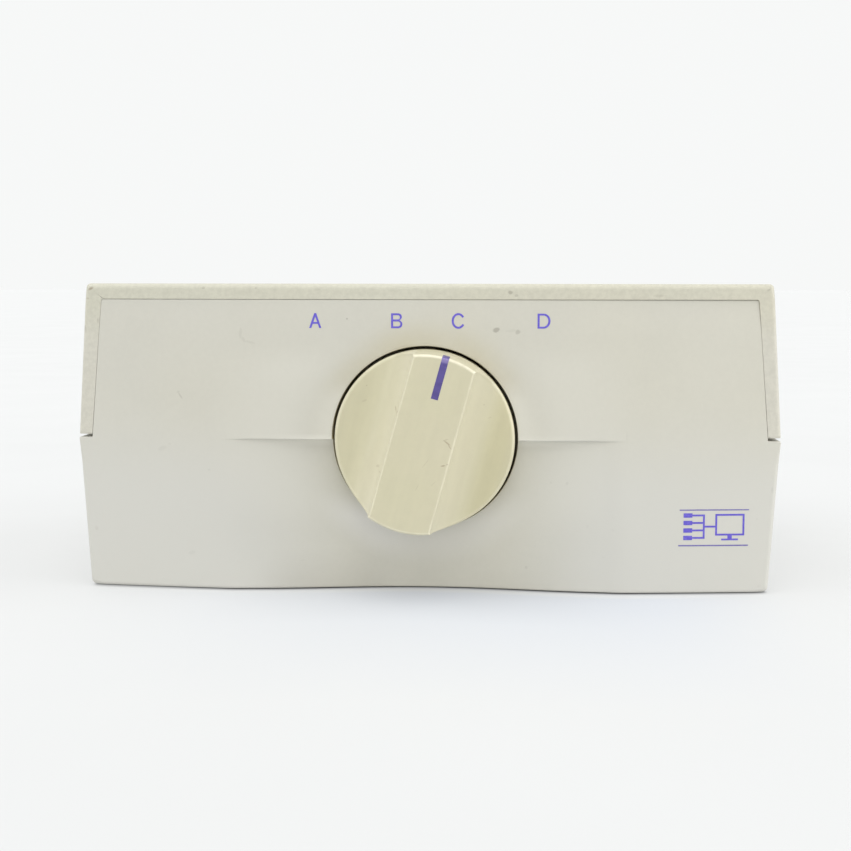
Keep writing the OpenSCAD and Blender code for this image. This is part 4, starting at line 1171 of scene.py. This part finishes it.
# plain four-into-one diagram: four small ports, a bracket and one screen
W = 0.42
ports = [rect(58.2, 60.2, z, z + 1.0) for z in (12.6, 14.3, 16.0, 17.7)]
lines = [rect(60.2, 62.6, z + 0.5 - W / 2, z + 0.5 + W / 2) for z in (12.6, 14.3, 16.0, 17.7)]
lines += [rect(62.6, 62.6 + W, 13.1 - W / 2, 18.2 + W / 2), rect(62.6 + W, 65.4, 15.65 - W / 2, 15.65 + W / 2)]
screen = [rect(65.4, 72.0, 18.1, 18.1 + W), rect(65.4, 72.0, 13.6, 13.6 + W), rect(65.4, 65.4 + W, 13.6 + W, 18.1),
          rect(72.0 - W, 72.0, 13.6 + W, 18.1), rect(68.2, 69.2, 12.9, 13.6), rect(66.8, 70.6, 12.5, 12.9)]
flat_print("print_diagram", ports + lines + screen, front_place)

for ch, (x, z) in zip("ABCD", SOCKETS):
    print_on("print_rear_" + ch.lower(), ch, x, z + 10.2, 3.0, lambda a, b, x=x: rear_place(2 * x - a, b))

# ------------------------------------------------------------------ CAD nodes that stay
slots = {s["node"]: s["material_slot"] for s in frame["record"]["subparts"]}
BEVEL = {"jack_screws": 0.22, "jack_nuts": 0.15, "case_screws": 0.2, "rubber_feet": 0.3}
for name, o in nodes.items():
    if o.hide_render:
        continue
    o.data.materials.clear()
    o.data.materials.append(MATS[slots[name]])
    w = o.modifiers.new("weld", "WELD")
    w.merge_threshold = 1e-6
    width = BEVEL.get(name, 0.12 if "shell" in name else 0.0)
    if width:
        bv = o.modifiers.new("edges", "BEVEL")
        bv.width, bv.segments, bv.limit_method, bv.angle_limit = width * 0.001, 3, "ANGLE", math.radians(35)
        bv.use_clamp_overlap = True
        bv.harden_normals = True
    if name == "rear_panel":
        sp = o.modifiers.new("flat_faces", "EDGE_SPLIT")
        sp.use_edge_angle, sp.use_edge_sharp, sp.split_angle = True, False, math.radians(12)

# ------------------------------------------------------------------ stage
m = Mat("floor_paper")
c = m.mix(m.ramp(m.noise(6.0, 3.0), 0.3, 0.7), srgb(161, 162, 162), srgb(163, 164, 164))
# bright cloth that glows a little everywhere; the glow is cut under the case and dimmed and made bluer just in front of
# it, a painted shadow of the case
sep = m.node("ShaderNodeSeparateXYZ")
m.link(m.co, sep.inputs[0])
fx, fy = sep.outputs[0], sep.outputs[1]
t = m.math("SUBTRACT", fy, m.math("MULTIPLY_ADD", m.math("MULTIPLY", fx, fx), 1.0 / (2 * BOW_R * 0.001), (YO - BOW) * 0.001))
dip = m.math("POWER", m.math("COSINE", m.math("MULTIPLY", fx, math.pi / 2 / (SCOOP_W * 0.001))), 2.0)
dip = m.math("MULTIPLY", dip, m.ramp(m.math("ABSOLUTE", fx), 0.040, 0.046, SCOOP_D * 0.001, 0.0))
t = m.math("SUBTRACT", t, dip)
tuck = m.math("ADD", m.ramp(fx, -0.070, -0.025, 0.0008, 0.0), m.ramp(fx, 0.035, 0.070, 0.0, 0.0004))
t = m.math("SUBTRACT", t, tuck)
under = m.math("MULTIPLY", m.ramp(t, 0.0006, 0.0024), m.ramp(m.math("ABSOLUTE", fx), 0.0770, 0.0782, 1.0, 0.0))
under = m.math("MULTIPLY", under, m.ramp(fy, 0.0600, 0.0616, 1.0, 0.0))
near = m.math("MULTIPLY", m.ramp(t, -0.034, 0.0, smooth=False), m.ramp(m.math("ABSOLUTE", m.math("SUBTRACT", fx, 0.001)), 0.008, 0.055, 1.0, 0.0))
near = m.math("MULTIPLY", near, m.ramp(t, 0.0, 0.004, 0.30, 0.0))
cool = m.math("MULTIPLY", m.ramp(t, -0.092, -0.014, smooth=False), m.ramp(fx, -0.092, 0.024, 0.0, 1.0))
cool = m.math("MULTIPLY", m.math("MULTIPLY", cool, m.ramp(fx, 0.046, 0.086, 1.0, 0.0)), m.ramp(t, -0.005, -0.001, 1.0, 0.2))
glow = m.mix(cool, (0.376, 0.378, 0.378, 1.0), (0.306, 0.331, 0.386, 1.0))
glow = m.mix(m.math("MAXIMUM", under, near), glow, (0.0, 0.0, 0.0, 1.0))
m.link(glow, m.bsdf.inputs["Emission Color"])
MAT_FLOOR = m.out(c, m.ramp(m.noise(20.0, 2.0), 0.3, 0.7, 0.75, 0.85), m.bump(m.noise(900.0), 0.03, 0.0002), Specular_IOR_Level=0.2,
                  Emission_Strength=1.0)
me = bpy.data.meshes.new("floor")
n = 64
vs = [(0, 0, 0)] + [(30 * math.cos(2 * math.pi * i / n), 30 * math.sin(2 * math.pi * i / n), 0) for i in range(n)]
me.from_pydata(vs, [], [(0, 1 + i, 1 + (i + 1) % n) for i in range(n)])
floor = bpy.data.objects.new("floor", me)
me.materials.append(MAT_FLOOR)
scene.collection.objects.link(floor)

world = bpy.data.worlds.new("studio")
scene.world = world
world.use_nodes = True
bg = world.node_tree.nodes["Background"]
bg.inputs["Color"].default_value = (0.93, 0.94, 0.935, 1.0)
bg.inputs["Strength"].default_value = 1.0


def broad_light(name, toward, angle, strength, color=(1, 1, 1)):
    """Very wide far light, so that the floor is lit evenly up to the horizon."""
    d = bpy.data.lights.new(name, "SUN")
    d.energy, d.angle, d.color = strength, math.radians(angle), color
    o = bpy.data.objects.new(name, d)
    o.location = Vector(toward).normalized() * 2.0
    o.rotation_euler = Vector(toward).to_track_quat("Z", "Y").to_euler()
    scene.collection.objects.link(o)
    return o


broad_light("top", (-0.12, -0.30, 0.95), 60, 1.2, (1.0, 0.995, 0.985))
broad_light("front_fill", (0.05, -0.95, 0.30), 60, 0.4)
broad_light("left_side", (-0.98, -0.10, 0.16), 40, 0.5)
broad_light("right_side", (0.97, -0.14, 0.18), 40, 1.55)

cam_d = bpy.data.cameras.new("camera")
cam_d.sensor_width = 36.0
cam_d.lens = 1487.4 / 851 * 36.0
cam_d.clip_start, cam_d.clip_end = 0.01, 100.0
cam = bpy.data.objects.new("camera", cam_d)
scene.collection.objects.link(cam)
pitch, yaw, roll = (math.radians(a) for a in (5.358, -3.085, -0.081))
fwd = Vector((math.sin(yaw) * math.cos(pitch), math.cos(yaw) * math.cos(pitch), -math.sin(pitch)))
right = Vector((math.cos(yaw), -math.sin(yaw), 0))
down = fwd.cross(right)
right, down = math.cos(roll) * right + math.sin(roll) * down, -math.sin(roll) * right + math.cos(roll) * down
rotm = Matrix((right, -down, -fwd)).transposed()
cam.matrix_world = Matrix.Translation(mm((18.04, -336.18, 69.5))) @ rotm.to_4x4()
scene.camera = cam
scene.view_settings.view_transform = "Standard"
